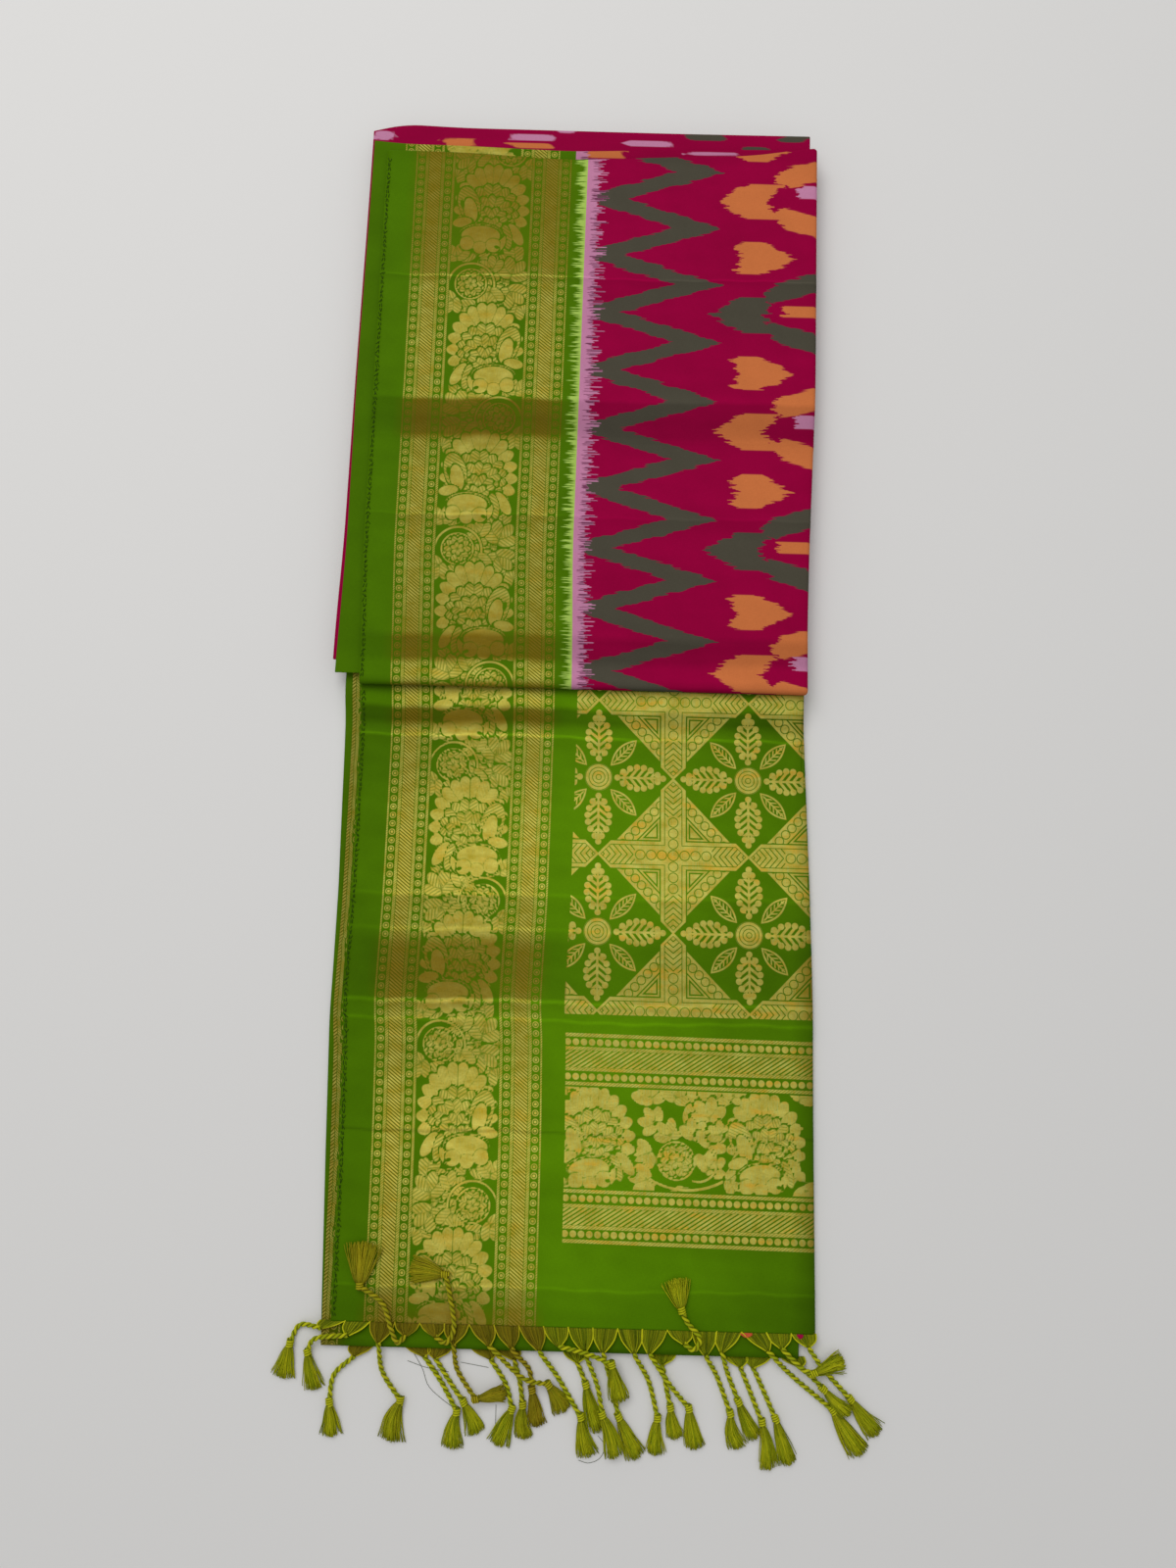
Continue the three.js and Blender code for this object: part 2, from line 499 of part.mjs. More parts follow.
// One tassel: its path runs from the web's root through the cord's bends to the knot
function tassel(path, tip, spread) {
  const knot = path.at(-1);
  const bends = path.slice(1).map((p) => new THREE.Vector3(...p));
  const curve = new THREE.CatmullRomCurve3(bends, false, "centripetal");
  const steps = CORD_STEPS * (bends.length - 1);
  const middle = curve.getPoints(steps).map((p) => p.toArray());
  const cord = CORD_RADIUS * FLATS;
  const swell = KNOT_RADIUS * FLATS;
  const rings = [cordRing(path[0], [0, -1], WEB.width / 2, WEB.thickness / 2)];
  middle.slice(0, -1).forEach((p, i) => {
    const heading = unit(middle[Math.max(0, i - 1)], middle[i + 1]);
    const width = i === 0 ? WEB.gatheredWidth / 2 : cord;
    const height = i === 0 ? WEB.gatheredThickness / 2 : cord;
    rings.push(cordRing(p, heading, width, height));
  });
  const out = unit(knot, tip);
  const along = (distance) => [knot[0] + out[0] * distance, knot[1] + out[1] * distance, knot[2]];
  const { before, swell: swellAt, narrow, after, neck, strands } = KNOT_STATIONS;
  rings.push(
    cordRing(along(before), out, cord, cord),
    cordRing(along(swellAt), out, swell, swell),
    cordRing(along(narrow), out, swell, swell),
    cordRing(along(after), out, neck, neck),
  );
  const skirt = Array.from({ length: STRAND.count }, (_, i) => strand(along(strands), tip, out, i, spread));
  return join([solidFromRings(rings), ...skirt]);
}

// One lock of the skirt, three sided, from the knot to its place in the fan
function strand(from, tip, out, index, spread) {
  const upper = index % 2;
  const share = index / (STRAND.count - 1) - 0.5;
  const across = [-out[1], out[0]];
  const reach = Math.hypot(tip[0] - from[0], tip[1] - from[1]) * (upper ? STRAND.upperReach : 1);
  const ring = (distance, side, radius, z) =>
    [0, 1, 2].map((k) => {
      const angle = (2 * Math.PI * k) / 3 + Math.PI / 2;
      const w = side + radius * Math.cos(angle);
      return [
        from[0] + out[0] * distance + across[0] * w,
        from[1] + out[1] * distance + across[1] * w,
        z + radius * Math.sin(angle),
      ];
    });
  return solidFromRings([
    ring(0, share * STRAND.rootSpread, STRAND.radius, from[2]),
    ring(reach, share * spread, STRAND.tip, tip[2] + (upper ? STRAND.upperLift : 0)),
  ]);
}

// Where a web leaves the front hem
function frontRoot(place) {
  const pitch = (FRONT_HEM.right - FRONT_HEM.left) / FRONT_HEM.count;
  return [FRONT_HEM.left + pitch * (place + 0.5), HEM_Y - SEAM, FRONT_HEM.level];
}

// The place where a cord from the front hem leaves the lower hem's edge
function pastLowerHem(gather, bend) {
  const edge = UNDER_HEM_Y - CORD_RADIUS - AIR;
  if (bend[1] > edge) return [];
  const share = (edge - gather[1]) / (bend[1] - gather[1]);
  return [[THREE.MathUtils.lerp(gather[0], bend[0], share), edge, Math.max(COVER_LEVEL - 0.2, bend[2])]];
}

// A tassel that lies on the surface
function lyingTassel(t) {
  const bend = [t.bend_x, t.bend_y, CORD_LEVEL + t.bend_lift];
  const knot = [t.knot_x, t.knot_y, KNOT_LEVEL + t.knot_lift];
  const tip = [t.tip_x, t.tip_y, TIP_LEVEL + t.tip_lift];
  if (t.hem === "under") {
    const gather = [t.gather_x, t.gather_y, CORD_LEVEL];
    return tassel([[t.root, UNDER_HEM_Y - SEAM, UNDER_HEM_LEVEL], gather, bend, knot], tip, t.spread);
  }
  const gather = [t.gather_x, t.gather_y, COVER_LEVEL];
  return tassel([frontRoot(t.root), gather, ...pastLowerHem(gather, bend), bend, knot], tip, t.spread);
}

// A tassel that is thrown back over the cloth
function thrownTassel(t) {
  const path = [
    frontRoot(t.root),
    [t.gather_x, t.gather_y, COVER_LEVEL],
    [t.turn_x, t.turn_y, CROSS_LEVEL],
    [t.over_x, t.over_y, CROSS_LEVEL],
    [t.bend_x, t.bend_y, ON_CLOTH_LEVEL],
    [t.knot_x, t.knot_y, ON_CLOTH_LEVEL + KNOT_RADIUS - CORD_RADIUS],
  ];
  return tassel(path, [t.tip_x, t.tip_y, ON_CLOTH_LEVEL - CORD_RADIUS + STRAND.tip], t.spread);
}

const saree = new THREE.Group();
saree.position.set(-ORIGIN.x, -ORIGIN.y, 0);

function add(name, geometry, color) {
  const mesh = new THREE.Mesh(geometry, clothMaterial(color));
  mesh.name = name;
  saree.add(mesh);
}

add("packet_core", packetCore(), PINK);
add("packet_middle_ply", underPly({ side: "middle", back: "middle", folded: true, ...MIDDLE_PLY }), PINK);
add("packet_border_ply", underPly({ side: "border", back: "border", ...BORDER_PLY }), GREEN);
add("packet_return_ply", underPly({ side: "selvedge", back: "front", ...RETURN_PLY }), PINK);
add("packet_front_ply", frontPly(), ZARI);
add("pallu", pallu(), GREEN);
for (const t of named(TASSEL_COLUMNS, TASSEL_TABLE)) add("tassel_" + t.name, lyingTassel(t), SKIRT_GREEN);
for (const t of named(THROWN_COLUMNS, THROWN_TABLE)) add("tassel_" + t.name, thrownTassel(t), SKIRT_GREEN);

export default saree;
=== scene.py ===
# %% [markdown]
# # A folded handloom silk saree
#
# A saree is one long handwoven cloth. This one is folded in four across its width, so that both
# of its broad gold borders lie on one side, and then folded again and again along its length.
# The end piece, the pallu, is drawn out from under the packet and ends in knotted tassels.
# The solid model gives every ply its place and size. This script dresses each of them in a
# finer surface with its weave, its dyes and its gold thread.
#
# The first lines load the solid model as a fixed frame.

# %% Load the frame
import math

import bpy
import numpy as np
from mathutils import Matrix, Vector


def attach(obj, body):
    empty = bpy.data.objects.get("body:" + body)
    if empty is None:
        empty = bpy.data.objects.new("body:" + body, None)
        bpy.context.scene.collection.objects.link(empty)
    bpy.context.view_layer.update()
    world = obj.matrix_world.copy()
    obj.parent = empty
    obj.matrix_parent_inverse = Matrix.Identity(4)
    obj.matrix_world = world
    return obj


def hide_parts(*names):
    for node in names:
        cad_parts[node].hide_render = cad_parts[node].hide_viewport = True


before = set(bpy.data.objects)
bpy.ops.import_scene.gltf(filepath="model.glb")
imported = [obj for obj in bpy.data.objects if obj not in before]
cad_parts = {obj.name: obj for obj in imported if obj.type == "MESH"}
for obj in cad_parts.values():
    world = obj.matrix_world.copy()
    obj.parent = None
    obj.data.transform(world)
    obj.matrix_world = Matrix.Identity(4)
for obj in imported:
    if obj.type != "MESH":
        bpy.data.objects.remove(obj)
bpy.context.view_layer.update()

MM = 0.001
print("solid nodes:", len(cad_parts))

# %% [markdown]
# ## The chart frame
#
# A weaver charts a cloth from one corner. Here every table is in millimetres from a point on the
# packet's front fold: x runs across the cloth, y runs from the tassels to the packet's back, and
# z is up. The solid model stands a little aside from that, so one shift carries each point over.

# %% The chart frame
CHART_TO_PART = np.array([4.0, -188.0, 0.0])


def placed(points):
    """Chart points in millimetres as points of the part in metres."""
    return (np.asarray(points, dtype=float) + CHART_TO_PART) * MM


def table(columns, rows):
    """A table as one array for each named column."""
    return {name: np.array([row[i] for row in rows], dtype=float) for i, name in enumerate(columns)}


def read(rows, key, at, column):
    """A column of a table, read between its rows."""
    order = np.argsort(rows[key])
    return np.interp(at, rows[key][order], rows[column][order])


def softened(rows, key, at, column, reach):
    """A column read between rows, with its corners rounded over a reach."""
    offsets = np.linspace(-reach, reach, 7)
    return sum(read(rows, key, at + offset, column) for offset in offsets) / len(offsets)


# %% [markdown]
# ## The camera
#
# The photograph looks almost straight down on the cloth. Its rays were worked out from the
# lines of the packet: the camera hangs about 0.72 m above the surface and leans 7 degrees, which
# makes the far end a little smaller than the near one.

# %% Set up the camera
CAMERA_PLACE = np.array([13.0, -331.0, 722.0])
CAMERA_LEAN = math.radians(7.0)
CAMERA_YAW = math.radians(1.55)
CAMERA_LENS = 27.05
SENSOR_HEIGHT = 36.0
NEAREST_SEEN = 0.01


def set_camera():
    data = bpy.data.cameras.new("photo_camera")
    data.sensor_fit = "VERTICAL"
    data.sensor_height = SENSOR_HEIGHT
    data.sensor_width = SENSOR_HEIGHT
    data.lens = CAMERA_LENS
    data.clip_start = NEAREST_SEEN
    camera = bpy.data.objects.new("photo_camera", data)
    bpy.context.scene.collection.objects.link(camera)
    turned = Matrix.Rotation(CAMERA_YAW, 4, "Z") @ Matrix.Rotation(CAMERA_LEAN, 4, "X")
    camera.matrix_world = Matrix.Translation(Vector(CAMERA_PLACE * MM)) @ turned
    bpy.context.scene.camera = camera
    return camera


camera = set_camera()
print("camera height, m:", round(camera.location.z, 3))

# %% [markdown]
# ## Floor and light
#
# The cloth lies on a plain pale surface under soft light. One large lamp overhead, a little
# towards the back and the left, gives the folds their short soft shadows, and a pale world
# fills them. A large lamp is softer than a small one, because it shines from many sides at once.

# %% Lay the floor and hang the lamp
FLOOR_SIZE = 6.0
FLOOR_COLOUR = (0.76, 0.745, 0.725, 1.0)
WORLD_COLOUR = (0.97, 0.985, 1.0, 1.0)
WORLD_STRENGTH = 0.47
LAMP_PLACE = (-0.55, 0.75, 1.9)
LAMP_AIM = (0.0, -0.2, 0.0)
LAMP_SIZE = 1.7
LAMP_POWER = 25.0


def lay_floor():
    bpy.ops.mesh.primitive_plane_add(size=FLOOR_SIZE, location=(0, 0, 0))
    floor = bpy.context.active_object
    floor.name = "floor"
    material = bpy.data.materials.new("pale_floor")
    material.use_nodes = True
    shader = material.node_tree.nodes["Principled BSDF"]
    shader.inputs["Base Color"].default_value = FLOOR_COLOUR
    shader.inputs["Roughness"].default_value = 0.9
    shader.inputs["Specular IOR Level"].default_value = 0.2
    floor.data.materials.append(material)


def hang_lamp():
    data = bpy.data.lights.new("overhead_softbox", "AREA")
    data.shape = "SQUARE"
    data.size = LAMP_SIZE
    data.energy = LAMP_POWER
    lamp = bpy.data.objects.new("overhead_softbox", data)
    bpy.context.scene.collection.objects.link(lamp)
    aim = Vector(LAMP_AIM) - Vector(LAMP_PLACE)
    turned = aim.to_track_quat("-Z", "Y").to_matrix().to_4x4()
    lamp.matrix_world = Matrix.Translation(Vector(LAMP_PLACE)) @ turned


def light_world():
    world = bpy.context.scene.world or bpy.data.worlds.new("soft_room")
    bpy.context.scene.world = world
    world.use_nodes = True
    background = world.node_tree.nodes["Background"]
    background.inputs["Color"].default_value = WORLD_COLOUR
    background.inputs["Strength"].default_value = WORLD_STRENGTH


bpy.ops.object.select_all(action="DESELECT")
lay_floor()
hang_lamp()
light_world()
print("lamp power, W:", LAMP_POWER)

# %% [markdown]
# ## Writing shader maths as sums
#
# A dyed or brocaded pattern is a picture made of simple sums, such as how far a point is from a
# line. A material can work these out with nodes, but dozens of nodes placed one by one are hard to
# read. So a small class wraps a socket and overloads the signs for adding and multiplying, and
# each sum then adds its own Math nodes. A second class holds one material and makes its nodes.

# %% A number on a socket, and a material that makes its nodes
NOISE_ROUGHNESS = 0.6


def srgb(red, green, blue):
    """A colour as it is seen on a screen, 0 to 255, as the linear colour that shaders use."""
    shares = [value / 255 for value in (red, green, blue)]
    linear = [s / 12.92 if s <= 0.04045 else ((s + 0.055) / 1.055) ** 2.4 for s in shares]
    return (*linear, 1.0)


class Yarn:
    """One number that changes over the cloth, held as a socket of a material."""

    def __init__(self, finish, socket):
        self.finish = finish
        self.socket = socket

    def __add__(self, other):
        return self.finish.maths("ADD", self, other)

    __radd__ = __add__

    def __sub__(self, other):
        return self.finish.maths("SUBTRACT", self, other)

    def __rsub__(self, other):
        return self.finish.maths("SUBTRACT", other, self)

    def __mul__(self, other):
        return self.finish.maths("MULTIPLY", self, other)

    __rmul__ = __mul__

    def __truediv__(self, other):
        return self.finish.maths("DIVIDE", self, other)

    def __abs__(self):
        return self.finish.maths("ABSOLUTE", self)

    def least(self, other):
        return self.finish.maths("MINIMUM", self, other)

    def most(self, other):
        return self.finish.maths("MAXIMUM", self, other)

    def kept(self, top=1.0):
        """The number, kept from 0 up to a top."""
        return self.most(0.0).least(top)

    def floor(self):
        return self.finish.maths("FLOOR", self)

    def folded(self, reach):
        """The number folded to and fro between 0 and a reach, for a repeat of twice the reach."""
        return self.finish.maths("PINGPONG", self, reach)

    def repeat(self, length):
        """The number's remainder in a repeat, always from 0 up to the length."""
        return self.finish.maths("WRAP", self, length, 0.0)

    def root(self):
        return self.finish.maths("SQRT", self)

    def swayed(self, other, factor):
        """This number, drawn towards another by a factor from 0 to 1."""
        return self + (other - self) * factor

    def inside(self, softness=0.35):
        """1 where the number is above nothing and 0 below, with a soft edge."""
        return self.finish.maths("MULTIPLY_ADD", self, 1 / softness, 0.5, clamp=True)

    def above(self, level, softness=0.35):
        return self.finish.maths("MULTIPLY_ADD", self, 1 / softness, 0.5 - level / softness, clamp=True)

    def below(self, level, softness=0.35):
        return self.finish.maths("MULTIPLY_ADD", self, -1 / softness, 0.5 + level / softness, clamp=True)


class Finish:
    """One material, with short ways to make its nodes."""

    def __init__(self, name):
        self.material = bpy.data.materials.new(name)
        self.material.use_nodes = True
        self.tree = self.material.node_tree
        self.shader = self.tree.nodes["Principled BSDF"]

    def node(self, kind, settings=None, sockets=None, output=0):
        made = self.tree.nodes.new(kind)
        for key, value in (settings or {}).items():
            setattr(made, key, value)
        for key, value in (sockets or {}).items():
            self.feed(made.inputs[key], value)
        return Yarn(self, made.outputs[output])

    def feed(self, socket, value):
        if isinstance(value, Yarn):
            self.tree.links.new(value.socket, socket)
        else:
            socket.default_value = value

    def maths(self, operation, *values, clamp=False):
        settings = {"operation": operation, "use_clamp": clamp}
        return self.node("ShaderNodeMath", settings, dict(enumerate(values)))

    def parts(self, attribute):
        """The three numbers of an attribute that the mesh carries."""
        vector = self.node("ShaderNodeAttribute", {"attribute_name": attribute}, output=1)
        return [self.node("ShaderNodeSeparateXYZ", None, {0: vector}, output=axis) for axis in range(3)]

    def noise(self, vector, scale=1.0, detail=2.0):
        sockets = {"Vector": vector, "Scale": scale, "Detail": detail, "Roughness": NOISE_ROUGHNESS}
        return self.node("ShaderNodeTexNoise", {"noise_dimensions": "3D"}, sockets)

    def cloud(self, x, y, z=0.0, detail=2.0):
        """Noise over the cloth: x and y say how fine it is each way, and z picks another one."""
        return self.noise(self.node("ShaderNodeCombineXYZ", None, {0: x, 1: y, 2: z}), 1.0, detail)

    def chance(self, number):
        """A random number from 0 to 1 for each whole number."""
        return self.node("ShaderNodeTexWhiteNoise", {"noise_dimensions": "1D"}, {"W": number})

    def mix(self, factor, first, second, way="MIX"):
        sockets = {0: factor, 6: first, 7: second}
        return self.node("ShaderNodeMix", {"data_type": "RGBA", "blend_type": way}, sockets, output=2)

    def grey(self, number):
        """A number as a grey colour, to multiply another colour with."""
        return self.node("ShaderNodeCombineColor", None, {0: number, 1: number, 2: number})

    def relief(self, height, distance):
        sockets = {"Height": height, "Distance": distance, "Strength": 1.0}
        return self.node("ShaderNodeBump", None, sockets)

    def set(self, **sockets):
        for key, value in sockets.items():
            self.feed(self.shader.inputs[key.replace("_", " ")], value)


print("shader classes ready")

# %% [markdown]
# ## Silk and gold thread
#
# The ground is fine silk: crossing threads 0.4 mm apart, slightly uneven because they were thrown
# by hand. Zari is gold coloured thread laid over the ground as an extra weft. Seen close, both show
# short streaks along their threads. Clouds of noise give these: the larger the factor of u or v, the
# finer the cloud that way. Every cloth material below ends in the same step, which mixes silk and
# zari by one mask and gives each its own gloss and relief.

# %% Mix silk and gold thread into a finished cloth
ZARI_PALE = srgb(198, 186, 84)
ZARI_DEEP = srgb(162, 143, 36)
ZARI_SILVER = srgb(162, 180, 100)
ZARI_ORANGE = srgb(206, 156, 40)
ZARI_SHADED = srgb(168, 136, 22)
ZARI_SHADED_MOST = 0.8
SILK_ROUGHNESS = 0.62
ZARI_SMOOTHER_BY = 0.14
ZARI_METAL = 0.15
CLOTH_SPECULAR = 0.02
THREAD_PITCH = 0.42
RELIEF = 0.00012


def dressed_cloth(finish, u, v, silk, gold, zari_tone, silk_tone, silver=0.25):
    """Ends a cloth material: silk is a colour, gold a mask, and the tones are the folds' shading."""
    across = finish.cloud(u * 0.35, v * 3.4, 0.0, 3.0)
    slubs = across * 0.6 + finish.cloud(u * 3.0, v * 0.3, 4.0) * 0.4
    patches = finish.cloud(u * 0.09, v * 0.16, 9.0, 3.0)
    streaks = finish.cloud(u * 1.5, v * 0.12, 2.0)
    dyed_again = finish.cloud(u * 0.05, v * 0.14, 17.0)
    ground = finish.mix(1.0, silk, finish.grey((slubs * 0.5 + 0.75) * silk_tone), "MULTIPLY")
    zari = finish.mix((patches * 2.2 - 0.6).kept(), ZARI_DEEP, ZARI_PALE)
    zari = finish.mix((streaks * 3.0 - 1.3).kept() * silver, zari, ZARI_SILVER)
    zari = finish.mix((dyed_again * 7.0 - 3.8).kept() * silver, zari, ZARI_ORANGE)
    zari = finish.mix((1.9 - zari_tone * 2.3).kept(ZARI_SHADED_MOST), zari, ZARI_SHADED)
    zari = finish.mix(1.0, zari, finish.grey((slubs * 0.9 + 0.55) * zari_tone), "MULTIPLY")
    threads = u.folded(THREAD_PITCH / 2) + v.folded(THREAD_PITCH / 2)
    height = gold * (threads * 1.1 + 0.55) + threads * 0.5 + across * 0.5
    finish.set(
        Base_Color=finish.mix(gold, ground, zari),
        Roughness=SILK_ROUGHNESS - gold * ZARI_SMOOTHER_BY,
        Metallic=gold * ZARI_METAL,
        Normal=finish.relief(height, RELIEF),
        Specular_IOR_Level=CLOTH_SPECULAR,
    )
    return finish.material


print("thread pitch, mm:", THREAD_PITCH)

# %% [markdown]
# ## The border
#
# Each border is green silk with a gold band 100 mm wide. The band is the same from both sides: a
# dotted line, slanting strokes, a dotted line, and in the middle a floral panel. So the shader
# folds the band about its middle and draws each line once. The floral panel is drawn on the mesh
# and reaches the shader as an attribute. Where the border meets the field, undyed ends of the
# ikat weft show as pale spikes.

# %% Weave the border
BAND = {"start": 19.0, "half": 50.0, "side_middle": 12.3, "flower_from": 25.4}
BORDER_END = 129.5
DOTS = {"middle": 8.7, "pitch": 5.15, "radius": 1.9, "ring": 1.1}
OUTER_RULE = {"middle": 12.1, "half": 0.75}
INNER_RULE = {"middle": 5.2, "half": 0.95}
HATCH = {"below": 3.9, "pitch": 2.05, "slant": 0.8, "share": 0.6}
RULE_DASHES = {"slant": 0.9, "pitch": 1.45, "share": 0.7}
FLOWER_FLOATS = {"pitch": 1.45, "share": 0.7, "least": 0.45}
SPIKES = {"bundle": 0.6, "length": 6.5, "start": 1.2, "softness": 2.5, "strength": 0.85}
GREEN_SILK = srgb(82, 124, 3)
GREEN_DEEP = srgb(64, 100, 1)
SPIKE_PALE = srgb(176, 206, 96)
FLOAT_OLIVE = srgb(104, 96, 8)
# Brown for the band's silk: painted shade where the fold tone is low, and near the hem.
SHADED_FOLD_AND_HEM_BROWN = srgb(106, 88, 6)
HEM_BROWN_FROM = -367.0


def ringed_dots(off_line, along, pitch, radius, ring):
    """A row of gold dots, each with a thin ring line of the ground's colour."""
    beside = along.folded(pitch / 2)
    distance = (off_line * off_line + beside * beside).root()
    line = abs(distance - ring).above(0.28, 0.3)
    return distance.below(radius) * line


def slanted(coordinate, pitch, share):
    """Slanting strokes: gold for a share of each pitch."""
    return coordinate.folded(pitch / 2).below(pitch / 2 * share, 0.3)


def band_places(u):
    """How far a place is inside the gold band, and how far from the middle of a striped side."""
    band = BAND["half"] - abs(u - BAND["start"] - BAND["half"])
    return band, abs(band - BAND["side_middle"])


def rule(side, row):
    """A plain line of gold along the band."""
    return abs(side - row["middle"]).below(row["half"])


def floated(depth, phase, solid, floats):
    """Charted flowers: gold floats side by side, and paler ground between them unless solid."""
    between = solid * (1 - floats["least"]) + floats["least"]
    return depth.inside(0.4) * slanted(phase, floats["pitch"], floats["share"]).most(between)


def border_gold(u, v, depth, phase, solid):
    band, side = band_places(u)
    rules = rule(side, OUTER_RULE).most(rule(side, INNER_RULE))
    dashes = slanted(v - u * RULE_DASHES["slant"], RULE_DASHES["pitch"], RULE_DASHES["share"])
    dots = ringed_dots(side - DOTS["middle"], v, DOTS["pitch"], DOTS["radius"], DOTS["ring"])
    strokes = slanted(v + u * HATCH["slant"], HATCH["pitch"], HATCH["share"]) * side.below(HATCH["below"])
    flowers = floated(depth, phase, solid, FLOWER_FLOATS) * band.above(BAND["flower_from"])
    lines = (rules * dashes).most(dots).most(strokes) * band.above(0.0)
    return lines.most(flowers)


def green_silk(finish, u, v):
    """The borders' green, in slow clouds of two shades."""
    return finish.mix(finish.cloud(u * 0.02, v * 0.03), GREEN_DEEP, GREEN_SILK)


def border_finish():
    finish = Finish("border_brocade")
    u, v, _ = finish.parts("cloth")
    depth, phase, solid = finish.parts("zari")
    zari_tone, silk_tone, beside_ikat = finish.parts("tone")
    gold = border_gold(u, v, depth, phase, solid)
    bundle = finish.chance((v / SPIKES["bundle"]).floor())
    spikes = u - BORDER_END + bundle * bundle * SPIKES["length"] + SPIKES["start"]
    spikes = spikes.inside(SPIKES["softness"]) * beside_ikat
    silk = green_silk(finish, u, v)
    band, side = band_places(u)
    silk = finish.mix(side.below(HATCH["below"]) * band.above(0.0) * 0.75, silk, FLOAT_OLIVE)
    # Painted shade: the band's silk turns brown where the fold tone is low, and everywhere below
    # HEM_BROWN_FROM near the hem.
    brown = (1.0 - zari_tone * 1.2).most(v.below(HEM_BROWN_FROM, 16.0)).most(0.0)
    silk = finish.mix(brown * band.above(0.0, 12.0) * 0.6, silk, SHADED_FOLD_AND_HEM_BROWN)
    silk = finish.mix(spikes * SPIKES["strength"], silk, SPIKE_PALE)
    return dressed_cloth(finish, u, v, silk, gold, zari_tone, silk_tone)


border_material = border_finish()
print("border nodes:", len(border_material.node_tree.nodes))

# %% [markdown]
# ## The ikat field
#
# Ikat is dyed before it is woven: bundles of weft are tied off and dyed, and each bundle slips a
# little at the loom. That is why every edge is ragged across the cloth and clean along it. The
# shader first shifts each bundle sideways by chance and then draws plain shapes: a zigzag, and a
# column of spear heads and hearts. A shape is a pair of slanting edges, mirrored about its middle.

# %% Dye the ikat field
UNIT = 38.64
FIRST_MOTIF = 322.6
LILAC_TO = 137.0
MAGENTA = srgb(158, 1, 62)
MAGENTA_DEEP = srgb(138, 0, 52)
IKAT_GREY = srgb(76, 72, 60)
IKAT_ORANGE = srgb(206, 118, 64)
IKAT_LILAC = srgb(196, 130, 164)
IKAT_PLUM = srgb(84, 8, 50)
BUNDLES = ((1.25, 4.4), (0.5, 3.0), (2.9, 2.2))
CHANCE_STEP = 31.7
MOTIF_EDGE = 0.6
ZIGZAG = {"left": 124.0, "right": 155.0, "slope": 3.26}
SPEAR_HALF = 12.0
ORANGE_SPEAR = {"tip": 214.0, "lean": 0.7, "end": 253.0, "notch": 8.5, "cut": 1.1}
GREY_SPEAR = {"tip": 211.0, "lean": 0.62, "end": 249.0, "notch": 7.0, "cut": 0.6}
ORANGE_LOBE = {"start": 250.0, "low": 12.0, "lift": 0.26, "half": 7.2}
GREY_LOBE = {"start": 245.0, "low": 10.8, "lift": 0.3, "half": 6.6}
FRINGE = {"bundle": 0.7, "length": 8.0, "start": 1.0, "strength": 0.95}


def slipped(finish, u, v):
    """The place across the cloth, with each bundle of weft slipped by chance."""
    shifted = u
    for i, (pitch, slip) in enumerate(BUNDLES):
        shifted = shifted + finish.chance((v / pitch + CHANCE_STEP * i).floor()) * slip - slip / 2
    return shifted


def zigzag(x, v):
    """Grey arms between two slanting lines that fold back at each corner."""
    beside = (v - FIRST_MOTIF).folded(UNIT / 2) * ZIGZAG["slope"]
    return (x - ZIGZAG["left"] - beside).least(ZIGZAG["right"] + beside - x).inside(MOTIF_EDGE)


def lobe(x, off, start, low, lift, half):
    """A broad tongue that starts beside a motif and widens towards the right fold."""
    middle = low + (x - start) * lift
    return ((x - start).least(half) - abs(off - middle)).inside(MOTIF_EDGE)


def spear(x, high, tip, lean, end, notch, cut):
    """A head that points left, with a notch at its right end; high is the way from its middle."""
    sides = ((x - tip) * lean - high).least(SPEAR_HALF - high)
    return sides.least(end - x - (notch - high).most(0.0) * cut).inside(MOTIF_EDGE)


def heart(x, high):
    """A heart that points right, with a shallow notch at its left."""
    left = x - 226 + abs(high - 6.0) * 0.2 - (5.5 - high).most(0.0) - (high - 8.5).most(0.0) * 2.6
    return left.least((264 - x) * 0.55 - high).least(11.0 - high).inside(MOTIF_EDGE)


def short_bar(x, off, start, half):
    """A short bar from a place across to the right fold."""
    return (x - start).least(half - abs(off)).inside(MOTIF_EDGE)


def ikat_masks(x, v):
    """Where the field is grey, orange and lilac. Motifs follow in fours, and lobes stand in pairs."""
    count = (FIRST_MOTIF - v) / UNIT
    nearest = (count + 0.5).floor()
    off = (count - nearest) * UNIT
    high = abs(off)
    kind = nearest.repeat(4.0)
    is_spear = kind.below(0.5, 0.1)
    is_grey = abs(kind - 2.0).below(0.5, 0.1)
    is_heart = 1 - is_spear - is_grey
    pair = (count / 2 + 0.5).floor()
    beyond = (count - pair * 2) * UNIT
    grey_pair = pair.repeat(2.0).above(0.5, 0.1)
    grey = zigzag(x, v).most(spear(x, high, **GREY_SPEAR) * is_grey)
    grey = grey.most(lobe(x, abs(beyond + 2.0), **GREY_LOBE) * grey_pair)
    orange = (heart(x, high) * is_heart).most(spear(x, high, **ORANGE_SPEAR) * is_spear)
    orange = orange.most(short_bar(x, off + 3.0, 257.0, 3.7) * is_grey)
    orange = orange.most(lobe(x, abs(beyond + 3.0), **ORANGE_LOBE) * (1 - grey_pair))
    return grey, orange, short_bar(x, off + 7.2, 265.0, 4.4) * is_spear


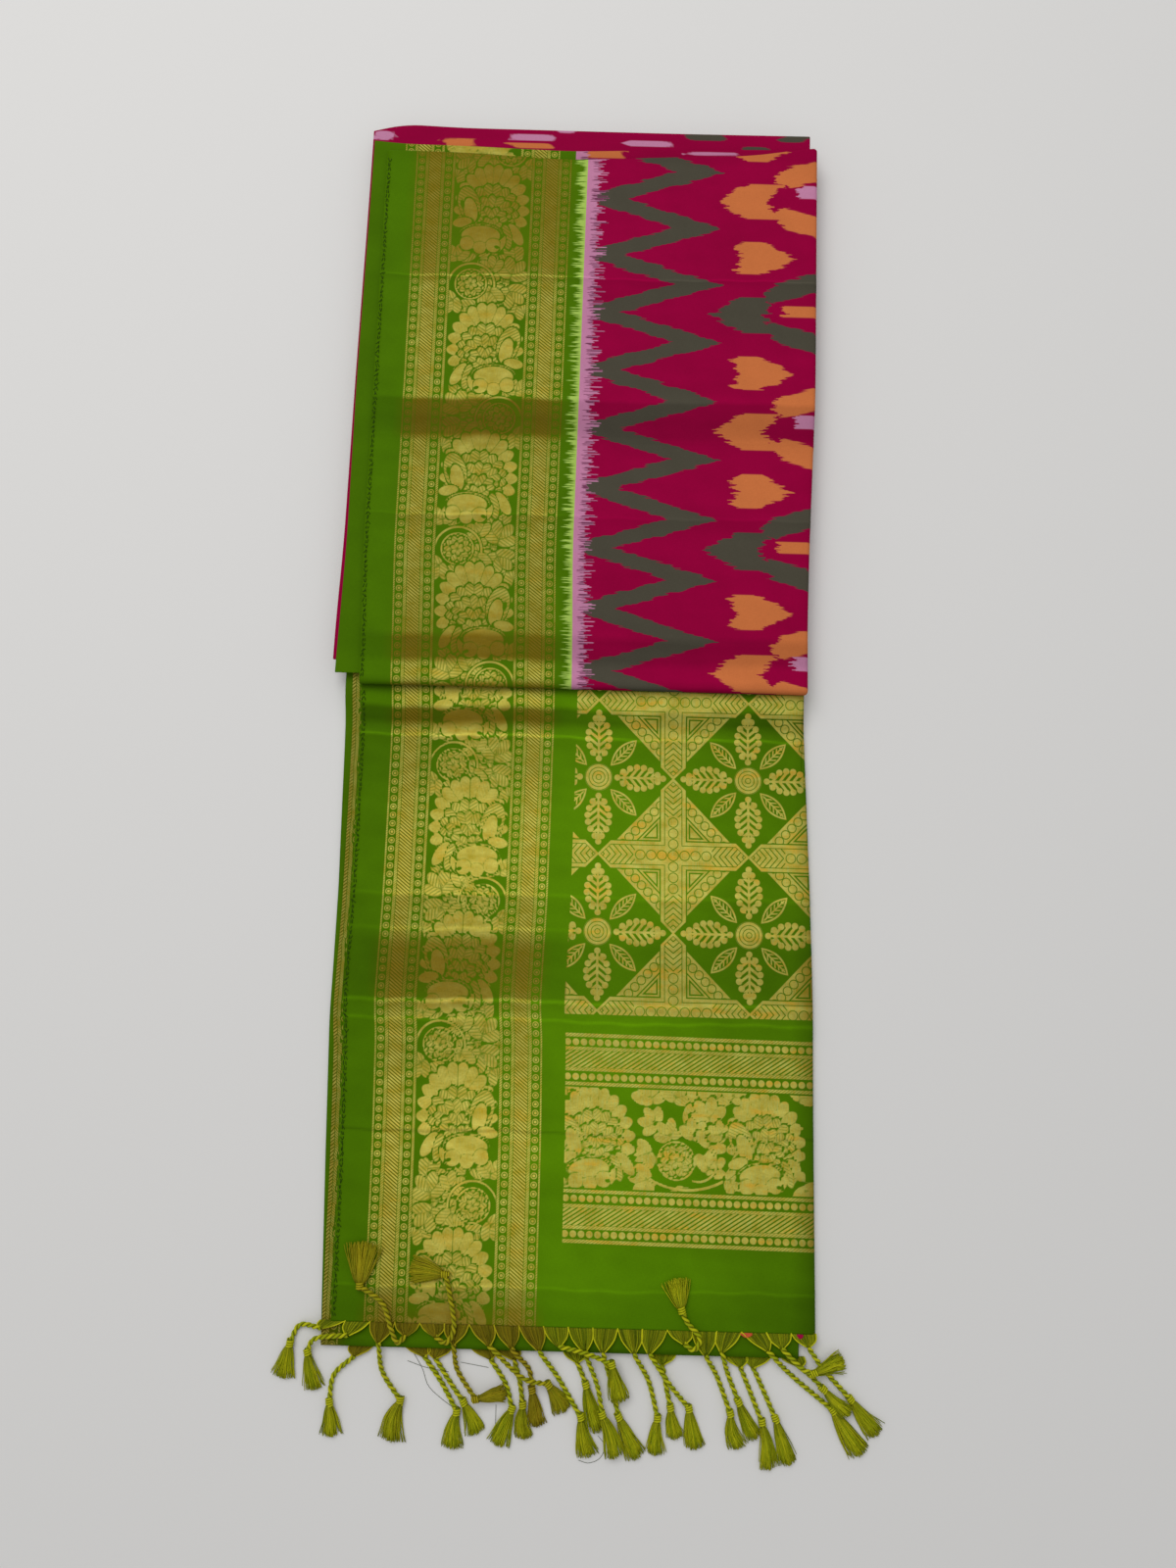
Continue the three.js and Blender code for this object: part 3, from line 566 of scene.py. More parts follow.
def ikat_finish():
    finish = Finish("body_silk")
    u, v, _ = finish.parts("cloth")
    zari_tone, silk_tone, patterned = finish.parts("tone")
    blots = [blot.above(0.4, 0.6) for blot in finish.parts("blots")]
    x = slipped(finish, u, v)
    grey, orange, lilac = (mask * patterned for mask in ikat_masks(x, v))
    grey, orange, lilac = (mask.most(blot) for mask, blot in zip((grey, orange, lilac), blots))
    silk = finish.mix(finish.cloud(u * 0.015, v * 0.05), MAGENTA_DEEP, MAGENTA)
    silk = finish.mix(grey, silk, IKAT_GREY)
    silk = finish.mix(orange * 0.93, silk, IKAT_ORANGE)
    silk = finish.mix(lilac, silk, IKAT_LILAC)
    bundle = finish.chance((v / FRINGE["bundle"]).floor())
    streak = finish.chance((v / 0.38 + 100.0).floor())
    edge = u - LILAC_TO - bundle * bundle * FRINGE["length"] + FRINGE["start"]
    plum = (u - BORDER_END - 2.5 - streak * 9.0).above(0.0, 1.2) * streak.below(0.38, 0.1)
    pale = edge.below(0.0, 1.0)
    silk = finish.mix(pale * FRINGE["strength"], silk, IKAT_LILAC)
    silk = finish.mix(plum * pale * 0.8, silk, IKAT_PLUM)
    return dressed_cloth(finish, u, v, silk, u * 0.0, zari_tone, silk_tone)


ikat_material = ikat_finish()
print("ikat nodes:", len(ikat_material.node_tree.nodes))

# %% [markdown]
# ## The pallu's lattice and cross band
#
# The end piece carries a lattice of gold bars with a flower in each opening, and below it a cross
# band of rules, dots, strokes and flowers. The lattice is the same in all four quarters of a
# repeat, so the shader folds the cloth twice and draws one quarter. Each shape is a distance: a
# bar is the distance from its middle line, a rosette the distance from its centre.

# %% Weave the pallu
LATTICE = {"x": 59.7, "y": -97.5, "tilt": 0.018, "half_x": 45.8, "half_y": 46.95, "end": -193.9}
LATTICE_FROM = 133.0
BAR = {"upright": 7.6, "level": 8.3, "overlap": 0.6, "outline": 2.1, "line": 2.55, "circles_to": 23.5}
SLANT_BAR = {"inner": 22.3, "outer": 30.9, "outline": 1.35, "p": 0.72, "q": 0.69, "pitch": 5.5}
CORNER = {"from": 0.8, "outline": 1.8, "line": 2.7}
ROSETTE = {"radius": 8.4, "pitch": 2.16, "start": 0.55, "line": 0.22}
SPRAY = {"start": 13.0, "end": 38.2, "step": 4.2, "widest": 24.6, "width": 6.6, "bend": 0.034}
BERRY = {"radius": 1.95, "tip_radius": 1.9, "tip_middle": 25.5, "tip_off": 14.0, "from": 9.0, "to": 42.0}
LEAF = {"middle": 21.6, "half": 4.4, "bend": 0.034, "outline": 1.15, "line": 1.6, "rib": 0.45}
CROSS_BAND = {"middle": -265.3, "sag": 0.012, "from": -200.0, "flowers_to": 28.9}
CROSS_RULES = (
    {"middle": 59.3, "half": 1.05}, {"middle": 51.4, "half": 1.0},
    {"middle": 39.3, "half": 1.0}, {"middle": 30.9, "half": 1.0},
)
CROSS_DOTS = {"middles": (55.2, 35.0), "pitch": 4.8, "radius": 2.0, "no_ring": 9.0}
CROSS_STROKES = {"slant": 0.66, "pitch": 2.5, "share": 0.62, "middle": 45.3, "half": 4.9}
CROSS_FLOATS = {"pitch": 1.3, "share": 0.84, "least": 0.5}


def squared(number):
    return number * number


def chain(along, beside, circles_to):
    """The filling of a straight bar: circles near the crossing and arrow heads further out."""
    circle = (squared(beside) + squared((along - 0.3).folded(3.3))).root()
    circles = circle.below(2.65).most(circle.above(3.15))
    arrows = (along - beside * 0.85).folded(1.75).above(0.38)
    return circles.swayed(arrows, along.above(circles_to, 0.1))


def straight_bars(p, q, upright, level):
    """The lattice's upright and level bars: an outline, a line of ground and the filling."""
    bar = upright.most(level)
    circles_to = BAR["circles_to"]
    filling = chain(p, q, circles_to).swayed(chain(q, p, circles_to), (upright - level).inside(0.1))
    return bar.inside() * bar.below(BAR["outline"]).most(bar.above(BAR["line"]) * filling)


def slanting_bars(p, q, slant):
    """The lattice's slanting bars: an outline and a row of ringed circles."""
    depth = (SLANT_BAR["outer"] - slant).least(slant - SLANT_BAR["inner"])
    run = (p * SLANT_BAR["q"] - q * SLANT_BAR["p"]).folded(SLANT_BAR["pitch"] / 2)
    off = slant - (SLANT_BAR["inner"] + SLANT_BAR["outer"]) / 2
    circle = (squared(run) + squared(off)).root()
    filling = circle.below(2.3).most(circle.above(2.85))
    return depth.inside() * depth.below(SLANT_BAR["outline"]).most(filling)


def lattice_gold(x, v):
    """All of the lattice, drawn in one quarter of its repeat; p and q run from a crossing."""
    across = x - LATTICE["x"] + (v - LATTICE["y"]) * LATTICE["tilt"]
    p = across.folded(LATTICE["half_x"])
    q = (v - LATTICE["y"]).folded(LATTICE["half_y"])
    upright = (LATTICE["half_y"] + BAR["overlap"] - q).least(BAR["upright"]) - p
    level = (LATTICE["half_x"] + BAR["overlap"] - p).least(BAR["level"]) - q
    outside = (upright.most(level) + 0.7).below(0.0)
    slant = p * SLANT_BAR["p"] + q * SLANT_BAR["q"]
    corner = (0 - upright).least(0 - level).least(SLANT_BAR["inner"] - slant)
    corners = corner.below(CORNER["outline"]).most(corner.above(CORNER["line"]))
    corners = corners * corner.above(CORNER["from"])
    flowers = flower_gold(LATTICE["half_x"] - p, LATTICE["half_y"] - q)
    flowers = flowers * (slant - SLANT_BAR["outer"]).above(0.6)
    between = slanting_bars(p, q, slant).most(corners).most(flowers) * outside
    return straight_bars(p, q, upright, level).most(between)


def flower_gold(beside, above):
    """A rosette, four sprays of berries and four outlined leaves, about the middle of an opening."""
    far = beside.most(above)
    near = beside.least(above)
    radius = (squared(beside) + squared(above)).root()
    rings = (radius + ROSETTE["start"]).folded(ROSETTE["pitch"] / 2).above(ROSETTE["line"], 0.3)
    rosette = radius.below(ROSETTE["radius"]) * rings
    return rosette.most(spray_gold(far, near)).most(leaf_gold(far, near))


def spray_gold(far, near):
    """Berries on slanting branches along a stem, with one more berry at each end."""
    step = SPRAY["step"]
    along_row = ((far - SPRAY["start"]) / step).floor() * step + SPRAY["start"] + step / 2
    wide = SPRAY["width"] - squared(along_row - SPRAY["widest"]) * SPRAY["bend"]
    berries = (squared(far - along_row) + squared(near - wide)).root().below(BERRY["radius"])
    branches = (far - near * 0.8 - SPRAY["start"]).folded(step / 2).above(step * 0.24) * near.below(wide)
    spray = berries.most(branches).most(near.below(0.7))
    spray = spray * far.above(SPRAY["start"]) * far.below(SPRAY["end"])
    beyond = (far - BERRY["tip_middle"]).folded(BERRY["tip_off"]) - BERRY["tip_off"]
    tips = (squared(beyond) + squared(near)).root().below(BERRY["tip_radius"])
    return spray.most(tips * far.above(BERRY["from"]) * far.below(BERRY["to"]))


def leaf_gold(far, near):
    """An outlined leaf with slanting veins, halfway between two sprays."""
    along = (far + near) * math.sqrt(0.5)
    aside = (far - near) * math.sqrt(0.5)
    leaf = LEAF["half"] - squared(along - LEAF["middle"]) * LEAF["bend"] - aside
    veins = (along - aside * 1.1).folded(1.55).below(0.6).most(aside.below(LEAF["rib"]))
    return leaf.inside() * leaf.below(LEAF["outline"]).most(veins * leaf.above(LEAF["line"]))


def any_of(masks):
    """Gold wherever one of several masks is gold."""
    joined, *others = masks
    for other in others:
        joined = joined.most(other)
    return joined


def cross_band_gold(u, v, depth, phase, solid):
    height = v - CROSS_BAND["middle"] + (u - LATTICE_FROM) * CROSS_BAND["sag"]
    off = abs(height)
    rules = any_of([rule(off, row) for row in CROSS_RULES])
    size = [CROSS_DOTS[name] for name in ("pitch", "radius", "no_ring")]
    dots = any_of([ringed_dots(off - middle, u, *size) for middle in CROSS_DOTS["middles"]])
    twist = slanted(u - height * 1.5, 2.2, 0.74).most(0.35)
    strokes = slanted(height - u * CROSS_STROKES["slant"], CROSS_STROKES["pitch"], CROSS_STROKES["share"])
    strokes = strokes * rule(off, CROSS_STROKES)
    flowers = floated(depth, phase, solid, CROSS_FLOATS) * off.below(CROSS_BAND["flowers_to"])
    return (rules * twist).most(dots).most(strokes).most(flowers)


def pallu_finish():
    finish = Finish("pallu_brocade")
    u, v, x = finish.parts("cloth")
    depth, phase, solid = finish.parts("zari")
    zari_tone, silk_tone, _ = finish.parts("tone")
    lattice = lattice_gold(x, v) * v.above(LATTICE["end"])
    band = cross_band_gold(u, v, depth, phase, solid) * v.below(CROSS_BAND["from"])
    gold = lattice.most(band) * u.above(LATTICE_FROM)
    silk = green_silk(finish, u, v)
    return dressed_cloth(finish, u, v, silk, gold, zari_tone, silk_tone, silver=0.6)


pallu_material = pallu_finish()
print("pallu nodes:", len(pallu_material.node_tree.nodes))

# %% [markdown]
# ## Drawing flowers in gold thread
#
# A brocade flower is many small petals, each outlined by a thin line where the ground shows. It is
# drawn like a paper collage: fans of petals are laid from the back to the front. Two petals of one
# fan meet halfway, and each fan clears a narrow gap around itself. The drawing is worked out for
# every point of a fine mesh as a depth, in millimetres inside the gold, so that its edge stays
# sharp between the points.

# %% Lay petals on the cloth
NO_GOLD = -4.0
DEEPEST = 1.1
PETAL_GAP = 0.5


class Pose:
    """Where a motif is placed: it can be turned, enlarged and mirrored."""

    def __init__(self, x, y, face=1, size=1.0, turn=0.0):
        self.x = x
        self.y = y
        self.face = face
        self.size = size
        self.turn = math.radians(turn)

    def seen(self, x, y):
        """Points of the cloth, as the motif's own chart has them."""
        dx, dy = x - self.x, y - self.y
        c, s = math.cos(self.turn), math.sin(self.turn)
        return (dx * c + dy * s) * self.face / self.size, (dy * c - dx * s) / self.size


class Brocade:
    """Gold motifs over points of the cloth: depth in gold, thread direction and where it is solid."""

    def __init__(self, x, y):
        self.cloth = (x, y)
        self.depth = np.full(x.shape, NO_GOLD)
        self.phase = np.zeros(x.shape)
        self.solid = np.zeros(x.shape)
        self.place(Pose(0.0, 0.0))

    def place(self, pose):
        """Draws the next petals in a motif's own chart."""
        self.size = pose.size
        self.x, self.y = pose.seen(*self.cloth)

    def fields(self):
        """The three numbers of each point, as one array."""
        return np.stack([self.depth, self.phase, self.solid], axis=-1)

    def lay(self, depth, phase, solid):
        """Lays one shape over what is there, with a gap of ground round it."""
        depth = depth * self.size
        cleared = depth > -PETAL_GAP
        self.depth = np.where(cleared, np.clip(depth - PETAL_GAP * 0.3, -DEEPEST, DEEPEST), self.depth)
        gold = depth > 0
        self.phase = np.where(gold, phase * self.size, self.phase)
        self.solid = np.where(gold, solid, self.solid)

    def petal(self, x, y, angle, long, wide):
        """Depth in one petal, a rounded oval, and the two ways across it."""
        c, s = math.cos(math.radians(angle)), math.sin(math.radians(angle))
        along = (self.x - x) * c + (self.y - y) * s
        aside = (self.y - y) * c - (self.x - x) * s
        radius = np.hypot(along / long, aside / wide)
        return (1 - radius) * min(long, wide), along, aside

    def fan(self, petals, solid, shift=0):
        """Petals side by side: each is (x, y, angle, half length, half width)."""
        drawn = [self.petal(*petal) for petal in petals]
        depths = np.array([depth for depth, _, _ in drawn])
        ranked = np.sort(depths, axis=0)
        meeting = (ranked[-1] - ranked[-2]) * 0.5 if len(drawn) > 1 else ranked[-1]
        nearest = np.argmax(depths, axis=0)[None]
        along = np.take_along_axis(np.array([one[1] for one in drawn]), nearest, 0)[0]
        aside = np.take_along_axis(np.array([one[2] for one in drawn]), nearest, 0)[0]
        lean = np.where((nearest[0] + shift) % 2 == 0, 1.0, -1.0)
        self.lay(np.minimum(ranked[-1], meeting), (along * lean + aside) * 0.55, solid)

    def disc(self, x, y, radius, solid):
        self.fan([(x, y, 0, radius, radius)], solid)

    def stem(self, x, y, radius, start, end, width):
        """Part of a ring, such as a curled stem."""
        angle = np.degrees(np.arctan2(self.y - y, self.x - x)) % 360
        depth = width / 2 - np.abs(np.hypot(self.x - x, self.y - y) - radius)
        depth = np.where((angle - start) % 360 <= (end - start) % 360, depth, NO_GOLD)
        self.lay(depth, self.x + self.y, 1.0)

    def cut(self, x, y, long, wide, angle):
        """Cuts an oval hole of ground into the gold."""
        depth, _, _ = self.petal(x, y, angle, long, wide)
        self.depth = np.minimum(self.depth, -depth * self.size)


def around(reach_x, reach_y, low, count, long, wide, start, end):
    """Petals that stand on an oval and point outwards, from one angle to another."""
    petals = []
    for angle in np.linspace(start, end, count):
        c, s = math.cos(math.radians(angle)), math.sin(math.radians(angle))
        petals.append((reach_x * c, low + reach_y * s, angle, long, wide))
    return petals


# %% [markdown]
# ## The lotus and its vine
#
# The border's main flower is a lotus seen from its side. From the back to the front it has a fan of
# large petals, four fans of smaller ones, a petal that curls round another, pointed petals below,
# and a dome with three lobes. A vine fills the place between two lotuses: a flower held in the ring
# of its own stem, and leaves of four lobes, like hands. All of it is charted for one side and
# mirrored for the next.

# %% Chart the lotus and the vine
# A fan: reach x, reach y, low, petals, half length, half width, first angle, last angle, solid
LOTUS_FANS = [
    (16.2, 22.4, 0.0, 18, 8.4, 4.4, -54, 234, 0.85),
    (10.2, 10.4, -1.0, 12, 7.4, 3.9, -34, 214, 0.0),
    (6.6, 3.8, -1.8, 9, 7.2, 3.6, -24, 204, 0.15),
    (4.0, 1.2, -6.6, 6, 6.6, 3.3, -10, 190, 0.0),
    (2.4, 0.8, -12.6, 4, 6.2, 3.0, 10, 170, 0.3),
]
# A petal: x, y, angle, half length, half width, solid
LOTUS_PETALS = [
    (14.6, 2.4, 74, 12.4, 7.0, 0.0), (13.4, -1.6, 78, 8.8, 4.4, 1.0),
    (18.4, -10.0, 350, 6.4, 3.4, 0.9), (-16.0, -17.6, 238, 8.6, 3.7, 0.9),
    (-10.4, -19.4, 258, 8.6, 3.2, 0.0), (-5.4, -23.8, 296, 6.8, 4.2, 0.9),
    (6.0, -17.6, 90, 7.0, 14.0, 0.0),
]
# A petal of the dome: x, y, angle, half length, half width
LOTUS_DOME = [
    (6.2, -18.8, 90, 6.8, 12.6), (-0.8, -23.6, 240, 7.0, 5.2),
    (6.4, -25.2, 268, 6.2, 5.0), (13.6, -22.6, 304, 7.0, 5.2),
]
# A hole: x, y, half length, half width, angle
LOTUS_HOLES = [
    (18.9, 2.6, 3.0, 1.3, 78), (-4.4, -26.4, 1.8, 1.1, 20),
    (1.8, -29.6, 1.8, 1.0, 70), (11.2, -29.4, 1.8, 0.9, 110),
]
# A hand of leaves: x, y, angle, size, solid
VINE_HANDS = [
    (-1.0, -1.0, 180, 1.5, 0.1), (-12.0, -2.0, 10, 1.5, 0.3), (4.0, 9.0, 200, 1.4, 0.2),
    (2.0, -12.0, 170, 1.4, 0.1), (-18.0, 12.0, 30, 1.35, 0.0), (-4.0, 16.0, 350, 1.3, 0.3),
    (9.0, 16.5, 40, 1.2, 0.0), (20.5, 13.0, 80, 1.1, 0.4), (-9.0, -15.0, 260, 1.1, 0.5),
    (-19.0, -15.0, 235, 1.2, 0.0), (7.0, -17.0, 300, 1.2, 0.0), (20.5, -13.0, 320, 1.2, 0.2),
    (-22.0, -4.0, 190, 1.0, 0.3), (-13.0, -6.0, 245, 1.35, 0.0), (-2.0, -6.5, 285, 1.25, 0.4),
    (-14.0, 1.0, 105, 1.4, 0.1), (-3.0, 5.0, 60, 1.1, 0.4),
]
# A lobe of a hand: how far it is turned from the hand's angle, and how far out it lies
HAND_LOBES = [(-62, 4.2), (-20, 5.6), (22, 5.6), (64, 4.2)]


def lotus(gold, pose):
    """A lotus seen from its side."""
    gold.place(pose)
    for ring, row in enumerate(LOTUS_FANS):
        *shape, solid = row
        gold.fan(around(*shape), solid, ring)
    for row in LOTUS_PETALS:
        *shape, solid = row
        gold.fan([shape], solid)
    gold.fan(LOTUS_DOME, 1.0)
    for hole in LOTUS_HOLES:
        gold.cut(*hole)


def hand(gold, x, y, angle, size, solid):
    """A leaf of four lobes that spread from one stem."""
    lobes = []
    for spread, reach in HAND_LOBES:
        turned = angle + spread
        c, s = math.cos(math.radians(turned)), math.sin(math.radians(turned))
        lobes.append((x + reach * size * c, y + reach * size * s, turned, 4.8 * size, 2.7 * size))
    gold.fan(lobes, solid)


def ringed_flower(gold, x, y, size=1.0):
    """A round flower inside the ring of its own stem."""
    gold.disc(x, y, 12.2 * size, 0.9)
    gold.disc(x, y, 10.4 * size, 0.2)
    petals = around(6.0 * size, 6.0 * size, 0.0, 10, 3.9 * size, 2.3 * size, 0, 324)
    gold.fan([(x + px, y + py, *shape) for px, py, *shape in petals], 0.1)
    petals = around(2.6 * size, 2.6 * size, 0.0, 6, 2.6 * size, 1.7 * size, 20, 320)
    gold.fan([(x + px, y + py, *shape) for px, py, *shape in petals], 0.6)


def vine(gold, pose):
    """Leaves and a ringed flower between two lotuses."""
    gold.place(pose)
    for row in VINE_HANDS:
        hand(gold, *row)
    gold.stem(10.6, -4.2, 14.6, 350, 185, 1.6)
    ringed_flower(gold, 11.0, -3.5, 0.86)


print("petals in a lotus:", sum(row[3] for row in LOTUS_FANS) + len(LOTUS_PETALS) + len(LOTUS_DOME))

# %% [markdown]
# ## The floral panels
#
# The border's panel repeats a lotus about every 90 mm, turned over each time, with a vine between.
# Hand weaving and folding make the repeats uneven, so their places are read off one by one. The
# pallu's cross band holds two lotuses of the same kind, with a broader vine that fills the band.

# %% Place the flowers
PANEL_MIDDLE = BAND["start"] + BAND["half"]
FRONT_LOTUSES = (313.5, 218.9, 135.0, 49.5)
PALLU_LOTUSES = (1.0, -82.5, -164.5, -254.2, -349.0)
CROSS_LOTUSES = (151.0, 252.0)
CROSS_HANDS = [
    (185.0, 22.0, 100, 1.5, 0.9), (198.0, 23.0, 70, 1.4, 0.6), (211.0, 22.0, 45, 1.4, 0.9),
    (222.0, 23.0, 80, 1.4, 0.8), (232.0, 25.0, 60, 1.2, 0.9), (205.0, 10.0, 10, 1.4, 0.7),
    (219.0, 12.0, 105, 1.4, 0.9), (188.0, 9.0, 150, 1.2, 0.8), (196.0, 1.0, 110, 1.2, 0.6),
    (209.0, 1.5, 75, 1.2, 0.9), (218.0, -3.0, 60, 1.3, 0.8), (226.0, 3.0, 120, 1.0, 0.7),
    (184.0, -7.0, 200, 1.2, 0.8), (217.0, -17.0, 55, 1.3, 0.9), (184.0, -22.0, 200, 1.3, 0.9),
    (229.0, -21.0, 350, 1.1, 0.8), (204.0, -27.0, 260, 1.0, 0.8), (134.0, 25.0, 80, 1.2, 0.9),
    (134.0, -25.0, 250, 1.1, 0.9), (272.0, 26.0, 60, 1.2, 0.8), (274.0, -24.0, 300, 1.2, 0.8),
]
BEFORE_FIRST_LOTUS = 88.0
PAST_LAST_LOTUS = 84.0
PANEL_REACH = 24.6


def border_flowers(u, v, places):
    gold = Brocade(u, v)
    ends = [places[0] + BEFORE_FIRST_LOTUS, *places, places[-1] - PAST_LAST_LOTUS]
    for i, (upper, lower) in enumerate(zip(ends, ends[1:])):
        vine(gold, Pose(PANEL_MIDDLE, (upper + lower) / 2 - 1.0, -1 if i % 2 else 1))
    for i, place in enumerate(places):
        lotus(gold, Pose(PANEL_MIDDLE, place, 1 if i % 2 else -1))
    gold.depth = np.minimum(gold.depth, PANEL_REACH - np.abs(u - PANEL_MIDDLE))
    return gold


def cross_band_flowers(u, v):
    gold = Brocade(u, v - CROSS_BAND["middle"] + (u - LATTICE_FROM) * CROSS_BAND["sag"])
    for row in CROSS_HANDS:
        hand(gold, *row)
    gold.stem(205.0, 16.0, 44.0, 240, 300, 1.9)
    gold.stem(212.0, -12.0, 11.0, 250, 60, 1.7)
    ringed_flower(gold, 199.0, -11.5, 0.95)
    for place in CROSS_LOTUSES:
        lotus(gold, Pose(place, 0.6, -1, 0.98, 8.0))
    return gold


def front_flowers(u, v):
    """The attribute of the front ply: depth in gold, phase of the threads, and how solid they are."""
    return border_flowers(u, v, FRONT_LOTUSES).fields()


def pallu_flowers(u, v):
    """The same for the pallu, with the cross band's flowers beside the border's."""
    border = border_flowers(u, v, PALLU_LOTUSES).fields()
    beyond_border = (u > LATTICE_FROM - 4.0)[..., None]
    return np.where(beyond_border, cross_band_flowers(u, v).fields(), border)


print("lotuses on the border:", len(FRONT_LOTUSES) + len(PALLU_LOTUSES))

# %% [markdown]
# ## From grids of points to closed cloth
#
# A folded sheet is easiest to make as a grid: each row crosses the cloth and each column runs along
# it. Attributes go with every point, and the materials read them: its place in the weave, the depth
# of its gold, and the tone that the folds give it. Solidify then gives the grid its thickness. Only
# the upper side is looked at closely, so a Decimate modifier thins out the lower side.

# %% Make a cloth from a grid
SHELL = 0.55


def grid_faces(rows, columns):
    corner = np.arange(rows * columns).reshape(rows, columns)
    quads = [corner[:-1, :-1], corner[:-1, 1:], corner[1:, 1:], corner[1:, :-1]]
    return np.stack(quads, axis=-1).reshape(-1, 4)


def mesh_object(name, points, faces, materials):
    """An object at the origin whose mesh holds the points, smooth shaded."""
    mesh = bpy.data.meshes.new(name)
    mesh.from_pydata(placed(points).tolist(), [], faces)
    mesh.shade_smooth()
    for material in materials:
        mesh.materials.append(material)
    piece = bpy.data.objects.new(name, mesh)
    bpy.context.scene.collection.objects.link(piece)
    return piece


def carry(piece, name, values):
    """Writes three numbers for each point of a mesh, under a name that the materials read."""
    field = piece.data.attributes.new(name, "FLOAT_VECTOR", "POINT")
    field.data.foreach_set("vector", np.asarray(values, dtype=np.float32).ravel())


def apply_modifiers(piece):
    bpy.ops.object.select_all(action="DESELECT")
    piece.select_set(True)
    bpy.context.view_layer.objects.active = piece
    for modifier in list(piece.modifiers):
        bpy.ops.object.modifier_apply(modifier=modifier.name)


def thicken(piece, thickness, keep):
    """Gives a sheet its thickness downwards, and thins out its hidden side to a share of its faces."""
    under = piece.vertex_groups.new(name="hidden_side")
    solid = piece.modifiers.new("thickness", "SOLIDIFY")
    solid.thickness = thickness * MM
    solid.offset = -1.0
    solid.use_even_offset = False
    solid.shell_vertex_group = under.name
    apply_modifiers(piece)
    thin = piece.modifiers.new("thin_hidden_side", "DECIMATE")
    thin.ratio = 0.5 + keep / 2
    thin.vertex_group = under.name
    thin.use_collapse_triangulate = False
    apply_modifiers(piece)
    piece.vertex_groups.clear()


def cloth_from_grid(name, grid, materials, zone_of, keep=0.06, thickness=SHELL):
    """A closed cloth from a dict of grids: its points, and an attribute for each other name."""
    faces = grid_faces(*grid["point"].shape[:2])
    piece = mesh_object(name, grid["point"].reshape(-1, 3), faces.tolist(), materials)
    for key in [key for key in grid if key != "point"]:
        carry(piece, key, grid[key].reshape(-1, 3))
    middles = grid["cloth"].reshape(-1, 3)[faces].mean(axis=1)
    piece.data.polygons.foreach_set("material_index", zone_of(middles).astype(np.int32))
    thicken(piece, thickness, keep)
    triangles = sum(len(face.vertices) - 2 for face in piece.data.polygons)
    print(name, "triangles:", triangles)
    return piece


# %% [markdown]
# ## Pressed folds
#
# The saree was folded and pressed many times, so soft ridges cross it where old folds lay, and the
# stretches between them catch the light differently: gold thread looks pale on one side of a ridge
# and brown on the other. A ridge is a narrow tent whose height changes a little along it. The
# shading of each stretch is read from a table and given to the shader as a tone.

# %% Ridges and tones
RIDGE_COLUMNS = ("y", "height", "reach")
PACKET_RIDGES = table(RIDGE_COLUMNS, [
    (31, 0.7, 9), (110, 0.6, 12), (160, 0.6, 7), (185, 0.8, 9), (267, 0.7, 12), (330, 0.4, 10),
])
# Painted shading of the stretches between ridges, narrow painted highlights on some crests, and painted
# shade at the front fold and under the packet.
TONE_COLUMNS = ("y", "zari", "silk")
PACKET_TONES = table(TONE_COLUMNS, [
    (400, 0.5, 0.95), (352, 0.5, 0.92), (345, 0.56, 1.0), (300, 0.6, 1.0), (268.6, 0.66, 1.0),
    (267.6, 1.3, 1.25), (266.8, 0.7, 0.9), (262, 0.86, 0.97), (225, 0.98, 1.0), (196, 0.95, 1.0),
    (187, 1.05, 1.05), (184, 0.44, 0.86), (172, 0.33, 0.78), (163, 0.38, 0.82), (158, 0.78, 0.96),
    (140, 0.9, 1.02), (111.5, 0.94, 1.02), (110.4, 1.2, 1.12), (109.2, 0.76, 0.94), (96, 0.86, 1.0),
    (60, 0.82, 1.0), (36, 0.72, 0.98), (32, 0.46, 0.82), (20, 0.44, 0.84), (15, 1.0, 1.04),
    (8, 1.15, 1.08), (3, 0.6, 0.85), (-5, 0.4, 0.7),
])
PALLU_TONES = table(TONE_COLUMNS, [
    (30, 0.5, 0.5), (1, 0.8, 0.7), (-3, 1.3, 1.05), (-8, 1.35, 1.1), (-11, 0.5, 0.6), (-17, 0.42, 0.52),
    (-21, 0.7, 0.75), (-25.5, 1.0, 0.9), (-26.6, 1.6, 1.4), (-28, 0.95, 0.85), (-45, 0.85, 0.9),
    (-70, 1.15, 1.0), (-110, 1.25, 1.04), (-122.5, 1.25, 1.0), (-123.8, 1.5, 1.15), (-126, 0.95, 0.92),
    (-143, 0.95, 0.94), (-144.8, 1.3, 1.05), (-147, 0.85, 0.88), (-154, 0.56, 0.78), (-172, 0.5, 0.74),
    (-186, 0.6, 0.8), (-187.6, 1.3, 1.3), (-189.5, 0.75, 0.9), (-197, 0.95, 0.98), (-198.3, 1.25, 1.35),
    (-200, 1.0, 1.0), (-218, 0.95, 0.98), (-240, 1.2, 1.0), (-262.5, 1.25, 1.0), (-263.8, 0.8, 0.75),
    (-265, 1.3, 1.05), (-300, 1.2, 0.98), (-346, 1.1, 0.96), (-350.6, 1.0, 0.92), (-351.6, 1.3, 1.15),
    (-353, 0.8, 0.86), (-366, 0.62, 0.82), (-390, 0.55, 0.78),
])


def ripple(x, y, seed):
    """A slow unevenness from -1 to 1, as pressed silk has."""
    waves = [(0.031, 0.012, 0.3), (0.017, 0.043, 1.9), (0.061, 0.024, 4.1), (0.009, 0.09, 2.6)]
    return sum(np.sin(x * a * 6.28 + y * b * 6.28 + c + seed) for a, b, c in waves) / len(waves)


